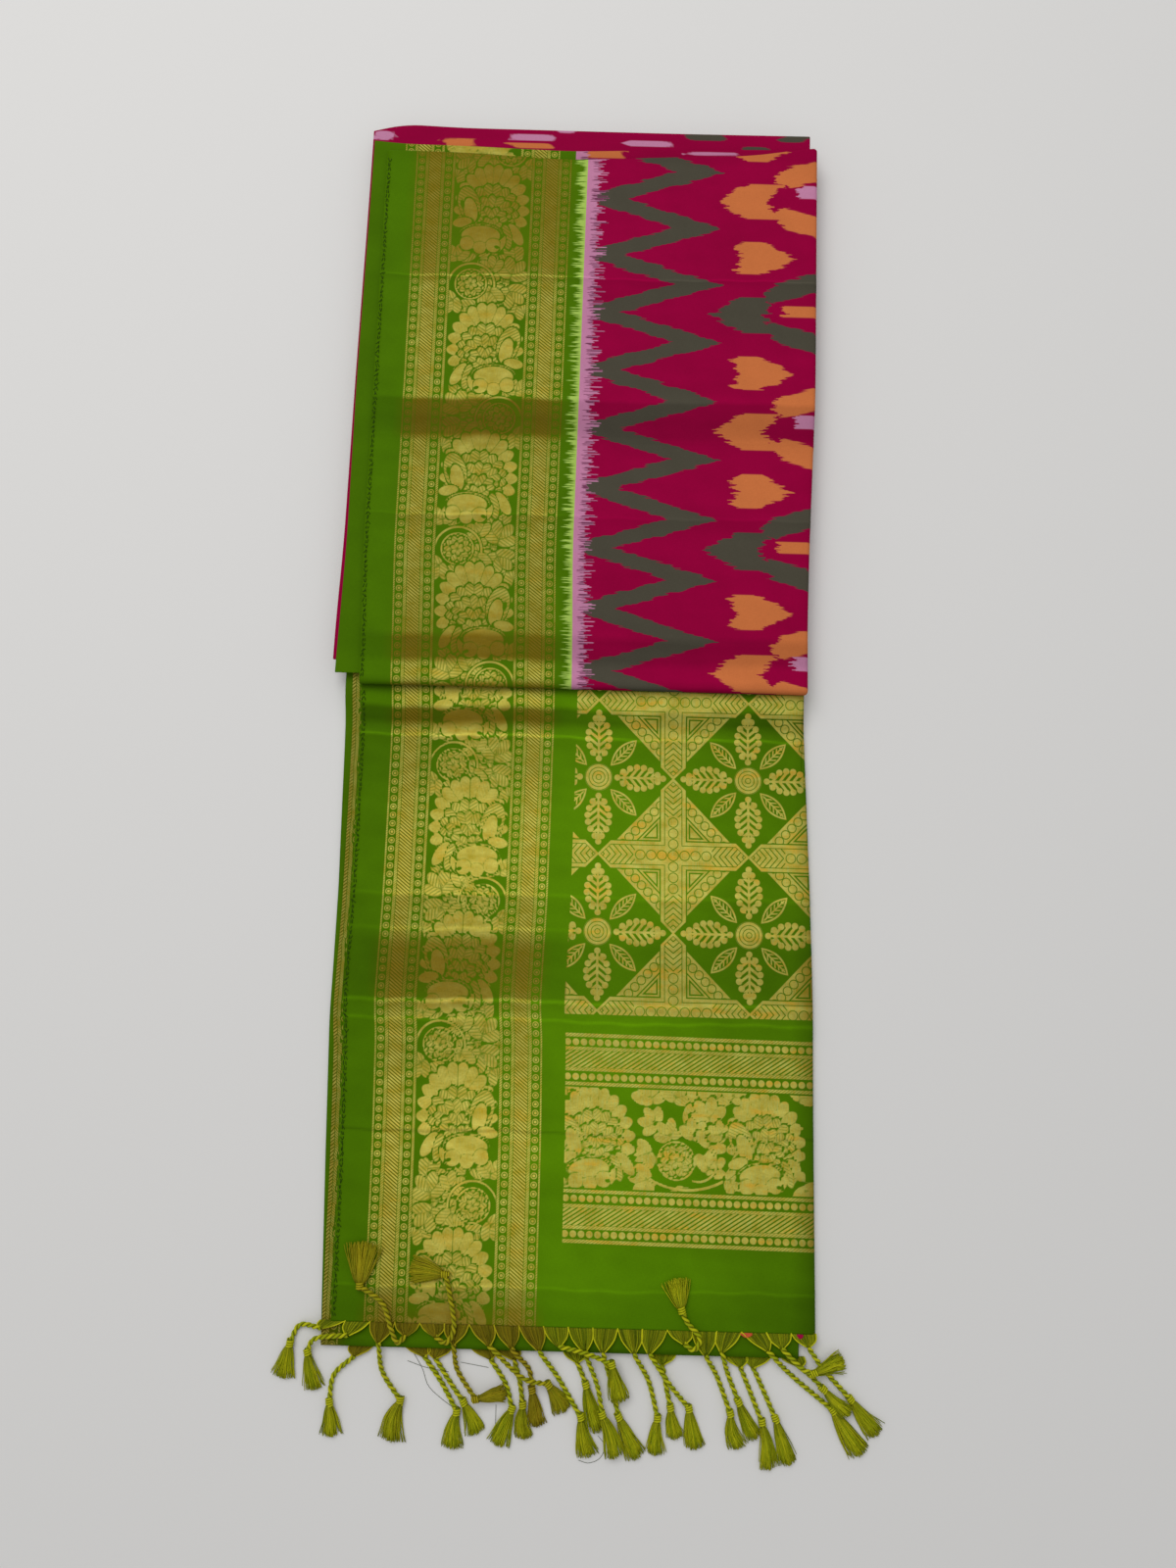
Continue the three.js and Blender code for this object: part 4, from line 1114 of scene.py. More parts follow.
def ridge_heights(x, y, ridges):
    """Height of the pressed ridges, a little higher here and lower there along each one."""
    total = np.zeros(np.broadcast(x, y).shape)
    for i, (place, height, reach) in enumerate(zip(*(ridges[column] for column in RIDGE_COLUMNS))):
        off = np.abs(y - place - 0.5 * np.sin(x * 0.05 + i)) / (reach * 0.75)
        total += height * (0.8 + 0.2 * np.sin(x * 0.037 + 2.1 * i)) * np.clip(1 - off, 0, 1) ** 1.5
    return total


def tones(x, y, rows, beside_ikat, wander=0.7):
    """Tone of gold and of silk: the folds' shading, a little wavy, and whether ikat lies beside."""
    along = y + wander * np.sin(x * 0.045) + 0.4 * np.sin(x * 0.21)
    zari = read(rows, "y", along, "zari") * (1 + 0.05 * ripple(x, y, 5.0))
    silk = read(rows, "y", along, "silk") * (1 + 0.04 * ripple(x, y, 8.0))
    return np.stack([zari, silk, np.full_like(zari, beside_ikat)], axis=-1)


print("ridges on the packet:", len(PACKET_RIDGES["y"]))

# %% [markdown]
# ## The front ply
#
# The top of the packet is one ply. Its selvedge lies on the left as a raw edge, and its other three
# edges are folds that turn down and under. The grid is flat over most of the packet, and its outer
# rows and columns roll over: a point in the roll is moved round a small circle, and a corner, which
# rolls both ways, is moved in the direction halfway between.

# %% Fold the front ply
FRONT_TOP = 17.3
FOLD_RADIUS = 2.75
BACK_RADIUS = 1.16
SELVEDGE_RADIUS = 0.5
FRONT_EDGE = 1.8
ROLL_STEPS = 8
FRONT_WIDTH = 275.0
PACKET_LENGTH = 345.0
PANEL_CELL = 0.62
PLAIN_CELL = 5.5
FIELD_CELL = 5.0
PANEL_EDGES = (PANEL_MIDDLE - 25.5, PANEL_MIDDLE + 25.5)
CORNER_REACH = 14
BACK_REACH = 12
SIDE_COLUMNS = ("y", "selvedge", "border", "middle", "right")
PACKET_SIDES = table(SIDE_COLUMNS, [
    (0, -134.4, -150.6, -152.6, 139.4), (40, -135.0, -149.0, -151.6, 139.0),
    (87, -136.2, -147.2, -149.4, 139.8), (190, -135.1, -146.4, -147.6, 143.4),
    (300, -134.2, -143.8, -145.0, 143.7), (362, -133.5, -142.6, -143.9, 143.8),
])
BACK_COLUMNS = ("x", "front", "border", "middle")
PACKET_BACK = table(BACK_COLUMNS, [
    (-150, 352.6, 361.4, 366.2), (-126, 352.6, 358.8, 373.6), (-84, 352.2, 358.4, 372.0),
    (-15, 348.8, 356.3, 371.8), (54, 352.6, 359.0, 371.6), (99, 354.4, 360.6, 371.8),
    (145, 361.8, 361.2, 372.0),
])


def side(y, column):
    """Where an edge of the packet's side lies at each row."""
    return softened(PACKET_SIDES, "y", y, column, CORNER_REACH)


def back(x, column):
    """Where an edge of the packet's back lies at each column."""
    return softened(PACKET_BACK, "x", x, column, BACK_REACH)


def front_height(x, y):
    """Height of the front ply's upper side."""
    return FRONT_TOP + ridge_heights(x, y, PACKET_RIDGES) + 0.1 * ripple(x, y, 0.0)


def stretch(start, end, step):
    """Places from start to end, a step apart or a little less."""
    count = max(2, int(math.ceil((end - start) / step)) + 1)
    return np.linspace(start, end, count)


def weave_columns(width):
    """Places across the cloth, close together where the floral panel needs a fine mesh."""
    return np.concatenate([
        stretch(0, PANEL_EDGES[0], PLAIN_CELL),
        stretch(*PANEL_EDGES, PANEL_CELL)[1:],
        stretch(PANEL_EDGES[1], BORDER_END, PLAIN_CELL)[1:],
        stretch(BORDER_END, width, FIELD_CELL)[1:],
    ])


def with_rolls(shares, before, after):
    """Adds rolled places at one or both ends: returns the shares and how far each has rolled."""
    steps = np.arange(1, ROLL_STEPS + 1) / ROLL_STEPS
    first = -steps[::-1] if before else np.array([])
    last = steps if after else np.array([])
    rolls = np.concatenate([first, np.zeros(len(shares)), last])
    held = np.concatenate([np.full(len(first), shares[0]), shares, np.full(len(last), shares[-1])])
    return held, rolls


def rolled(flat_x, flat_y, top, column_roll, row_roll, radii, turn_limit):
    """Moves a flat grid's outer points round the folds. radii are (left, right, front, back)."""
    across, along = np.abs(column_roll), np.abs(row_roll)
    steps = np.maximum(across, along)
    share = np.minimum(across, along) / np.maximum(steps, 1e-9)
    heading = (math.pi / 4) * np.where(across >= along, share, 2 - share)
    out_x = np.cos(heading) * np.sign(column_roll + 1e-12)
    out_y = np.sin(heading) * np.sign(row_roll + 1e-12)
    at_side = np.where(column_roll < 0, radii[0], radii[1])
    at_end = np.where(row_roll < 0, radii[2], radii[3])
    radius = at_side + (at_end - at_side) * np.abs(out_y)
    turn = turn_limit * steps
    reach = radius * np.sin(turn)
    points = [flat_x + out_x * reach, flat_y + out_y * reach, top - radius * (1 - np.cos(turn))]
    woven = [out_x * radius * turn, out_y * radius * turn]
    return np.stack(points, axis=-1), woven


def front_grid():
    flat_front = FRONT_EDGE + FOLD_RADIUS
    columns, column_roll = with_rolls(weave_columns(FRONT_WIDTH), False, True)
    shares, row_roll = with_rolls(stretch(0, 1, PANEL_CELL / PACKET_LENGTH), True, True)
    place = flat_front + shares * PACKET_LENGTH
    left = side(place, "selvedge")[:, None]
    fold = side(place, "right")[:, None] - FOLD_RADIUS
    beyond = np.clip((columns - BORDER_END) / (FRONT_WIDTH - BORDER_END), 0, 1)[None, :]
    u = np.minimum(columns, BORDER_END)[None, :] + beyond * (fold - left - BORDER_END)
    x = left + u
    y = flat_front + shares[:, None] * (back(x, "front") - BACK_RADIUS - flat_front)
    rolls = np.broadcast_arrays(column_roll[None, :], row_roll[:, None])
    radii = (SELVEDGE_RADIUS, FOLD_RADIUS, FOLD_RADIUS, BACK_RADIUS)
    points, woven = rolled(x, y, front_height(x, y), *rolls, radii, math.pi)
    weave = np.stack([u + woven[0], y + woven[1], points[..., 0]], axis=-1)
    return {
        "point": points,
        "cloth": weave,
        "zari": front_flowers(weave[..., 0], weave[..., 1]),
        "tone": tones(x, weave[..., 1], PACKET_TONES, 1.0),
    }


def border_or_field(middles):
    return (middles[:, 0] > BORDER_END).astype(int)


PACKET_MATERIALS = [border_material, ikat_material]
front_cloth = cloth_from_grid("front_cloth", front_grid(), PACKET_MATERIALS, border_or_field)
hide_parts("packet_front_ply")
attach(front_cloth, "root")

# %% [markdown]
# ## The plies under the front one
#
# Three more plies show as narrow strips: the second selvedge's border, green, on the left and at the
# back; a magenta ply beyond it; and the front ply's own return. Each is a flat ply whose edges turn
# down like a fold. They are made by the same rolling as the front ply, with larger cells, because
# only their edges show.

# %% Lay the plies under the front one
UNDER_PLY_COLUMNS = ("low", "thick", "front", "right_inset", "left_inset", "back_inset", "outline")
BORDER_PLY = dict(zip(UNDER_PLY_COLUMNS, (13.6, 1.0, 8.6, 4.6, 0.0, 0.0, "border")))
MIDDLE_PLY = dict(zip(UNDER_PLY_COLUMNS, (11.75, 1.5, 17.0, 4.2, 0.0, 0.0, "middle")))
RETURN_PLY = dict(zip(UNDER_PLY_COLUMNS, (14.98, 1.0, 10.0, 5.0, 1.2, 3.2, None)))
PLY_SHELL = 0.4
PLY_COLUMNS = 110
PLY_ROWS = 150


def under_grid(ply, woven_from, tone, patterned, flowers=False):
    """A grid for one ply; woven_from moves the weave, so that its pattern lies where it shows."""
    radius = ply["thick"] / 2
    outline = ply["outline"]
    columns, column_roll = with_rolls(stretch(0, 1, 1 / PLY_COLUMNS), True, True)
    rows, row_roll = with_rolls(stretch(0, 1, 1 / PLY_ROWS), True, True)
    place = ply["front"] + rows * (PACKET_LENGTH - ply["front"])
    left = side(place, outline or "selvedge") + ply["left_inset"] + radius
    right = side(place, "right") - ply["right_inset"] - radius
    x = left[:, None] + columns[None, :] * (right - left)[:, None]
    far = back(x, outline or "front") - ply["back_inset"] - radius
    y = ply["front"] + radius + rows[:, None] * (far - ply["front"] - radius)
    top = np.full_like(x, ply["low"] + ply["thick"])
    rolls = np.broadcast_arrays(column_roll[None, :], row_roll[:, None])
    points, woven = rolled(x, y, top, *rolls, (radius,) * 4, math.pi * 0.98)
    u = x - left[:, None] + woven[0] + woven_from[0]
    v = y + woven[1] + woven_from[1]
    zari = front_flowers(u, v) if flowers else np.full((*u.shape, 3), NO_GOLD)
    shade = np.broadcast_to([tone, tone, patterned], (*u.shape, 3))
    return {"point": points, "cloth": np.stack([u, v, x], axis=-1), "zari": zari, "tone": shade}


def under_cloth(name, node, grid):
    piece = cloth_from_grid(name, grid, PACKET_MATERIALS, border_or_field, 0.3, PLY_SHELL)
    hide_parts(node)
    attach(piece, "root")
    return piece


BLOT_COLUMNS = ("x", "y", "half_x", "half_y", "dye")
MIDDLE_BLOTS = [
    (-88.5, 361.5, 11.5, 3.2, "orange"), (-42.0, 360.4, 15.5, 2.2, "orange"),
    (-137.0, 365.0, 7.5, 3.6, "lilac"), (-42.0, 366.2, 16.5, 2.6, "lilac"),
    (-19.0, 370.8, 8.0, 1.6, "lilac"), (36.0, 363.8, 16.5, 2.4, "lilac"),
    (72.0, 369.2, 14.5, 2.6, "grey"), (105.0, 361.6, 12.5, 2.2, "grey"),
    (130.0, 369.6, 10.5, 2.8, "grey"),
]
BORDER_BLOTS = [
    (4.5, 355.5, 15.5, 3.8, "orange"), (-13.4, 355.5, 2.7, 6.0, "lilac"), (76.0, 356.8, 18.0, 1.6, "lilac"),
]
DYES = ("grey", "orange", "lilac")


def blots(grid, rows):
    """Depth inside each dye's patches at the back edge, ragged across as all ikat is."""
    x = grid["cloth"][..., 2]
    y = grid["point"][..., 1]
    ragged = 2.5 * np.sin(y * 9.0) + 1.5 * np.sin(y * 23.0 + 1.0)
    depths = np.full((*x.shape, 3), -9.0)
    for row in rows:
        b = dict(zip(BLOT_COLUMNS, row))
        across = (b["half_x"] - np.abs(x + ragged - b["x"])) * 0.3
        along = b["half_y"] - np.abs(y - b["y"])
        dye = DYES.index(b["dye"])
        depths[..., dye] = np.maximum(depths[..., dye], np.minimum(across, along))
    return depths


# The third number is each ply's painted shade: one darker tone for its gold and its silk.
border_grid = under_grid(BORDER_PLY, (-1.0, -24.0), 0.9, 0.0, True)
border_grid["blots"] = blots(border_grid, BORDER_BLOTS)
border_cloth = under_cloth("border_cloth", "packet_border_ply", border_grid)
middle_grid = under_grid(MIDDLE_PLY, (150.0, 62.0), 0.95, 0.0)
middle_grid["blots"] = blots(middle_grid, MIDDLE_BLOTS)
middle_cloth = under_cloth("middle_cloth", "packet_middle_ply", middle_grid)
return_grid = under_grid(RETURN_PLY, (0.0, 0.0), 0.8, 1.0)
return_cloth = under_cloth("return_cloth", "packet_return_ply", return_grid)

# %% [markdown]
# ## The hidden layers
#
# Under those plies lie the many layers of the rest of the cloth. Only their folded edges show, as a
# stack of thin rounded lips, none quite above the next. Each layer is a closed slab: a rounded
# outline, drawn in at its top and bottom, with its own small setback that wanders along the edge.

# %% Stack the hidden layers
CORE_COLUMNS = ("low", "high", "left", "right", "back", "front")
CORE_LAYERS = [
    (0.0, 0.92, 1.3, 1.8, 2.0, 1.6), (0.98, 1.9, 0.9, 1.2, 1.4, 0.9), (1.96, 2.9, 1.6, 1.5, 2.2, 1.3),
    (2.98, 4.0, 0.3, 0.8, 0.5, 0.1), (4.06, 5.0, 0.9, 0.6, 1.1, 0.6), (5.06, 6.05, 0.2, 1.1, 0.4, 0.0),
    (6.12, 7.0, 1.5, 0.9, 2.4, 26.8), (7.06, 7.9, 1.1, 1.6, 1.9, 26.2), (7.96, 8.75, 1.7, 1.2, 2.6, 27.2),
    (8.82, 9.7, 0.7, 1.9, 3.5, 26.9), (9.76, 10.6, 1.2, 1.5, 3.1, 27.4),
    (10.66, 11.5, 0.6, 2.1, 3.8, 26.6),
]
CORE_EDGES = {"left": -149.0, "right": 141.0, "back": 372.0, "front": 10.0}
CORE_CORNER = 5.0
CORE_TUCK = 1.2
CORE_WANDER = 0.35
CORNER_STEPS = 6
SIDE_STEPS = 41
# Painted shade: the hidden layers' gold and silk are darkened to this tone.
CORE_TONE = (0.82, 0.82, 0.0)
LIP = [(0.0, 0.5), (0.14, 0.16), (0.5, 0.0), (0.86, 0.16), (1.0, 0.5)]


def rounded_outline(left, right, far, near):
    """Points round an oblong with rounded corners, from its right side on and through its back."""
    r = CORE_CORNER
    corners = [(right - r, far - r), (left + r, far - r), (left + r, near + r), (right - r, near + r)]
    points = []
    for quarter, (x, y) in enumerate(corners):
        for step in range(CORNER_STEPS + 1):
            angle = (quarter + step / CORNER_STEPS) * math.pi / 2
            points.append((x + r * math.cos(angle), y + r * math.sin(angle)))
        last_x, last_y = points[-1]
        next_x, next_y = corners[(quarter + 1) % 4]
        for share in np.linspace(0, 1, SIDE_STEPS + 1)[1:-1]:
            points.append((last_x + (next_x - x) * share, last_y + (next_y - y) * share))
    return np.array(points)


def core_outline(layer, inset, seed):
    """Points round one layer: its edge wanders a little, and its left side keeps under the plies."""
    left = CORE_EDGES["left"] + layer["left"] + inset
    right = CORE_EDGES["right"] - layer["right"] - inset
    far = CORE_EDGES["back"] - layer["back"] - inset
    near = CORE_EDGES["front"] + layer["front"] + inset
    points = rounded_outline(left, right, far, near)
    wander = CORE_WANDER * ripple(points[:, 0] * 1.3, points[:, 1] * 1.3, seed)
    middle = np.array([(left + right) / 2, (near + far) / 2])
    outward = (points - middle) / np.linalg.norm(points - middle, axis=1)[:, None]
    points -= outward * (CORE_WANDER + wander)[:, None]
    lean = np.maximum(side(points[:, 1], "middle") + CORE_TUCK - CORE_EDGES["left"], 0.0)
    points[:, 0] += lean * (right - points[:, 0]) / (right - left)
    return points


def core_weave(points, seed):
    """Where in the weave a hidden fold lies: every third layer is field, the others start as border."""
    x, y = points[:, 0], points[:, 1]
    u = np.clip(x - CORE_EDGES["left"] - 12, 4, 270)
    if seed % 3 == 2:
        u = np.maximum(u, 150)
    return np.stack([u, y * 0.9 + 40 * seed, x], axis=-1)


def lip_faces(start, count):
    """Faces of one closed layer whose rings of points follow one another from a start."""
    faces = []
    for ring in range(start, start + (len(LIP) - 1) * count, count):
        for j in range(count):
            a, b = ring + j, ring + (j + 1) % count
            faces.append((a, b, b + count, a + count))
    top = start + (len(LIP) - 1) * count
    faces.append(tuple(range(start + count - 1, start - 1, -1)))
    faces.append(tuple(range(top, top + count)))
    return faces


def hidden_layers():
    points, faces, woven = [], [], []
    for seed, row in enumerate(CORE_LAYERS):
        layer = dict(zip(CORE_COLUMNS, row))
        start = len(points)
        for share, inset in LIP:
            ring = core_outline(layer, inset, seed)
            z = layer["low"] + (layer["high"] - layer["low"]) * share
            points += [(px, py, z) for px, py in ring]
            woven += core_weave(ring, seed).tolist()
        faces += lip_faces(start, len(ring))
    piece = mesh_object("hidden_layers", points, faces, PACKET_MATERIALS)
    woven = np.array(woven)
    carry(piece, "cloth", woven)
    carry(piece, "zari", np.full(woven.shape, NO_GOLD))
    carry(piece, "tone", np.broadcast_to(CORE_TONE, woven.shape))
    polygons = piece.data.polygons
    zones = [int(woven[list(face.vertices), 0].min() > BORDER_END) for face in polygons]
    polygons.foreach_set("material_index", zones)
    print("hidden layers:", len(CORE_LAYERS), "faces:", len(polygons))
    return piece


hidden = hidden_layers()
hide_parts("packet_core")
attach(hidden, "root")

# %% [markdown]
# ## The pallu
#
# The end piece is one cloth folded in four: from the top selvedge it runs right, round a large
# fold, back under everything to the left fold, right again inside, round a small fold and left to
# the second selvedge. Its path is worked out at each row, and a point beside the path gives its
# outer side. The top ply has small cells for its flowers, the plies under it large ones.

# %% Fold the pallu in four
PLY = 1.0
PLY_PITCH = 1.35
PALLU_COLUMNS = ("y", "rise", "crest", "fold", "selvedge", "right")
PALLU_ROWS = table(PALLU_COLUMNS, [
    (28, 6.5, 0, -144.0, -134.4, 137.4), (4, 6.5, 0, -144.7, -134.4, 137.8),
    (-4, 5.2, 0, -144.7, -134.3, 138.2), (-13, 2.2, 0, -144.6, -134.3, 138.6),
    (-21, 0.4, 0.1, -144.6, -134.3, 139.0), (-26.5, 0, 1.4, -144.6, -134.3, 139.3),
    (-33, 0, 0.1, -144.5, -134.4, 139.6), (-75, 0, 0, -144.2, -134.6, 141.4),
    (-117, 0, 0, -143.8, -135.0, 143.2), (-124, 0, 0.6, -143.9, -135.0, 143.4),
    (-131, 0, 0, -144.0, -135.2, 143.6), (-165, 0, 0, -144.5, -136.4, 144.8),
    (-188, 0, 1.0, -145.0, -137.0, 145.3), (-193, 0, 0.3, -145.0, -136.8, 145.4),
    (-198.5, 0, 0.8, -144.9, -136.4, 145.5), (-207, 0, 0, -144.7, -135.6, 145.5),
    (-256, 0, 0, -143.5, -134.6, 145.9), (-264, 0, 0.6, -143.3, -134.5, 146.0),
    (-272, 0, 0, -143.1, -134.4, 146.1), (-342, 0, 0, -141.1, -134.2, 147.1),
    (-351, 0, 0.6, -140.8, -134.2, 147.2), (-373, 0, 0, -140.1, -134.2, 147.5),
])
PALLU_BACK = 28.0
HEM = -373.0
UNDER_HEM_DROP = 14.0
INNER_FOLD_INSET = (0.4, 8.0)
SECOND_SELVEDGE_OUT = 5.5
TOP_PLY_WIDTH = 277.0
FITTED_FROM = 272.0
TURNED_UNDER_FROM = 284.0
PALLU_CELL = 0.95
LEFT_FOLD_WEAVE = 29.5
LEVELS = PLY / 2 + PLY_PITCH * np.arange(4)
EDGE_REACH = 6
# Painted shade: the pallu's hidden plies are darkened to this tone.
HIDDEN_TONE = (0.85, 0.85, 0.0)
CROSS_TONE = {"share": 0.4, "least": 0.62}
# Painted light and shade on the pallu's top ply: a pool of light over the middle, and shade towards the
# right edge.
MIDDLE_LIGHT_POOL = {"middle": 20.0, "reach": 85.0, "zari": 0.12, "silk": 0.5}
DIM = {"from": 132.0, "reach": 14.0, "most": 0.45, "silk_share": 0.75}


def pallu_edge(y, column):
    """Where an edge of the pallu lies at each row."""
    return softened(PALLU_ROWS, "y", y, column, EDGE_REACH)


def crease_lift(x, y, places, share):
    """How far the cloth rises at its ramp and its creases; share is 1 on top and 0 at the floor."""
    rise = softened(PALLU_ROWS, "y", places, "rise", 3.0)
    crest = softened(PALLU_ROWS, "y", places, "crest", 1.2)
    uneven = 0.85 + 0.15 * np.sin(x * 0.041 + places * 0.01)
    return rise + crest * share * uneven + 0.09 * ripple(x, y, 3.0) * np.clip(share, 0, 1)


def straight(start, end, ply, first_drop, last_drop):
    """Steps along a hidden ply, from one fold to the next."""
    found = []
    for share in np.linspace(0, 1, 5):
        drop = first_drop + (last_drop - first_drop) * share
        found.append((start + (end - start) * share, LEVELS[ply], drop, ply / 3))
    return found


def turn(x, radius, way, first, last, drop, steps):
    """Steps round a fold, from one ply's level to another's."""
    found = []
    for angle in math.pi * np.arange(1, steps) / steps:
        climb = np.sign(LEVELS[first] - LEVELS[last]) * radius * math.cos(angle)
        z = (LEVELS[first] + LEVELS[last]) / 2 + climb
        found.append((x + way * radius * math.sin(angle), z, drop, z / LEVELS[3]))
    return found


def pallu_columns():
    """Places across the pallu's top ply, close together at its flowers."""
    return np.concatenate([
        stretch(0, PANEL_EDGES[0], 6.0),
        stretch(*PANEL_EDGES, PALLU_CELL)[1:],
        stretch(PANEL_EDGES[1], LATTICE_FROM, 6.0)[1:],
        stretch(LATTICE_FROM, FITTED_FROM, 1.25)[1:],
        stretch(FITTED_FROM, TOP_PLY_WIDTH, 2.5)[1:],
    ])


def pallu_path(places):
    """The middle line across the cloth at each row: x, level, drop at the hem and crease share."""
    share = (PALLU_BACK - places) / (PALLU_BACK - HEM)
    inset = INNER_FOLD_INSET[0] + (INNER_FOLD_INSET[1] - INNER_FOLD_INSET[0]) * share
    outer, inner = (LEVELS[3] - LEVELS[0]) / 2, (LEVELS[2] - LEVELS[1]) / 2
    selvedge = pallu_edge(places, "selvedge")
    outer_x = pallu_edge(places, "right") - outer - PLY / 2
    inner_x = outer_x - inset
    left_x = pallu_edge(places, "fold") + inner + PLY / 2
    line = []
    for u in pallu_columns():
        beyond = max(0.0, (u - FITTED_FROM) / (TOP_PLY_WIDTH - FITTED_FROM))
        fitted = selvedge + u + beyond * (outer_x - selvedge - TOP_PLY_WIDTH)
        line.append((fitted, LEVELS[3], 0.0, 1.0))
    under = UNDER_HEM_DROP
    line += turn(outer_x, outer, 1, 3, 0, 0.0, 10)
    line += straight(outer_x, left_x, 0, 0.0, under)
    line += turn(left_x, inner, -1, 0, 1, under, 6)
    line += straight(left_x, inner_x, 1, under, under)
    line += turn(inner_x, inner, 1, 1, 2, under, 6)
    line += straight(inner_x, selvedge - SECOND_SELVEDGE_OUT, 2, under, under)
    return [np.stack([np.broadcast_to(step[i], places.shape) for step in line], axis=1) for i in range(4)]


def pallu_shade(x, y, woven):
    """Painted tone of the top ply: fold shading, a pool of light in the middle and shade at the right edge.
    """
    shade = tones(x, y, PALLU_TONES, 0.0)
    # Across the lattice and the cross band, the gold's painted shading is flattened towards an even tone.
    crossing = (woven > LATTICE_FROM) & (woven < TURNED_UNDER_FROM)
    lifted = shade[..., 0] * CROSS_TONE["share"] + CROSS_TONE["least"]
    shade[..., 0] = np.where(crossing, lifted, shade[..., 0])
    light_pool = np.exp(-((x - MIDDLE_LIGHT_POOL["middle"]) / MIDDLE_LIGHT_POOL["reach"]) ** 2)[..., None]
    shade *= 1 + light_pool * np.array([MIDDLE_LIGHT_POOL["zari"], MIDDLE_LIGHT_POOL["silk"], 0.0])
    dim = np.clip((x - DIM["from"]) / DIM["reach"], 0, 1)[..., None] * DIM["most"]
    return shade * (1 - dim * np.array([1.0, DIM["silk_share"], 0.0]))


def pallu_grid():
    floral_rows = stretch(HEM, -2.0, PALLU_CELL)
    places = np.concatenate([floral_rows, stretch(-2.0, PALLU_BACK, 2.5)[1:]])
    x, z, drop, crease_share = pallu_path(places)
    dx, dz = np.gradient(x, axis=1), np.gradient(z, axis=1)
    span = np.hypot(dx, dz)
    y = places[:, None] - drop * (PALLU_BACK - places[:, None]) / (PALLU_BACK - HEM)
    lift = crease_lift(x, y, places[:, None], crease_share)
    points = np.stack([x - PLY / 2 * dz / span, y, z + PLY / 2 * dx / span + lift], axis=-1)
    steps = np.hypot(np.diff(x, axis=1), np.diff(z, axis=1))
    woven = np.concatenate([np.zeros((len(places), 1)), np.cumsum(steps, axis=1)], axis=1)
    past_left_fold = LEFT_FOLD_WEAVE + woven - woven[:, [np.argmin(x[0])]]
    u = np.where(woven > TURNED_UNDER_FROM, past_left_fold, woven)
    top = (np.arange(x.shape[1]) < len(pallu_columns()) + 3)[None, :, None]
    return {
        "point": points,
        "cloth": np.stack([u, y, x], axis=-1),
        "zari": np.where(top, pallu_flowers(woven, y), NO_GOLD),
        "tone": np.where(top, pallu_shade(x, y, woven), HIDDEN_TONE),
    }


def border_or_pallu(middles):
    return (middles[:, 0] > LATTICE_FROM).astype(int)


PALLU_MATERIALS = [border_material, pallu_material]
pallu_cloth = cloth_from_grid("pallu_cloth", pallu_grid(), PALLU_MATERIALS, border_or_pallu, 0.1, 0.7)
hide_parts("pallu")
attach(pallu_cloth, "root")

# %% [markdown]
# ## Thread for the tassels
#
# The tassels are knotted by hand from the cloth's own warp ends: a fan of threads gathers into a
# cord of two twisted strands, a wrapped knot holds it, and the cut ends fan out below. Every thread
# is a tube along a short path. A tassel has over 160 of them, so a skein collects its tubes into
# one mesh. Each thread carries its own shade and a light number, which paints shade on it, for the
# material to read.

# %% Make tubes along paths
class Skein:
    """Collects tubes of thread into one mesh."""

    def __init__(self):
        self.points = []
        self.faces = []
        self.threads = []
        self.count = 0

    def tube(self, path, radii, sides, shade, brown=0.0, light=1.0, outward=None):
        """A closed tube along a path. Where outward is given, the side turned away from it gets painted
        shade.
        """
        path = np.asarray(path, dtype=float)
        steps = len(path)
        radii = np.broadcast_to(np.asarray(radii, dtype=float), (steps,))
        light = np.broadcast_to(np.asarray(light, dtype=float), (steps,))[:, None] * np.ones(sides)
        across, over = frames(path)
        angle = (np.arange(sides) * 2 * math.pi / sides)[None, :, None]
        ring = across[:, None, :] * np.cos(angle) + over[:, None, :] * np.sin(angle)
        if outward is not None:
            facing = (ring * outward[:, None, :]).sum(axis=2)
            light = light * (0.3 + 0.7 * np.clip(0.45 + 0.6 * facing, 0, 1))
        self.points.append((path[:, None, :] + ring * radii[:, None, None]).reshape(-1, 3))
        index = self.count + np.arange(steps * sides).reshape(steps, sides)
        following = np.roll(index, -1, axis=1)
        quads = np.stack([index[:-1], following[:-1], following[1:], index[1:]], axis=-1)
        self.faces += [tuple(face) for face in quads.reshape(-1, 4).tolist()]
        self.faces += [tuple(index[0][::-1].tolist()), tuple(index[-1].tolist())]
        plain = np.ones(steps * sides)
        self.threads.append(np.stack([shade * plain, brown * plain, light.ravel()], axis=-1))
        self.count += steps * sides

    def made(self, name, material):
        piece = mesh_object(name, np.concatenate(self.points), self.faces, [material])
        carry(piece, "thread", np.concatenate(self.threads))
        return piece


def frames(path):
    """Two directions across a path, at each of its points."""
    ahead = np.gradient(path, axis=0)
    ahead /= np.linalg.norm(ahead, axis=1)[:, None] + 1e-9
    up = np.array([0.0, 0.0, 1.0]) + 0 * ahead
    up[np.abs(ahead[:, 2]) > 0.95] = (1.0, 0.0, 0.0)
    across = np.cross(ahead, up)
    across /= np.linalg.norm(across, axis=1)[:, None]
    return across, np.cross(across, ahead)


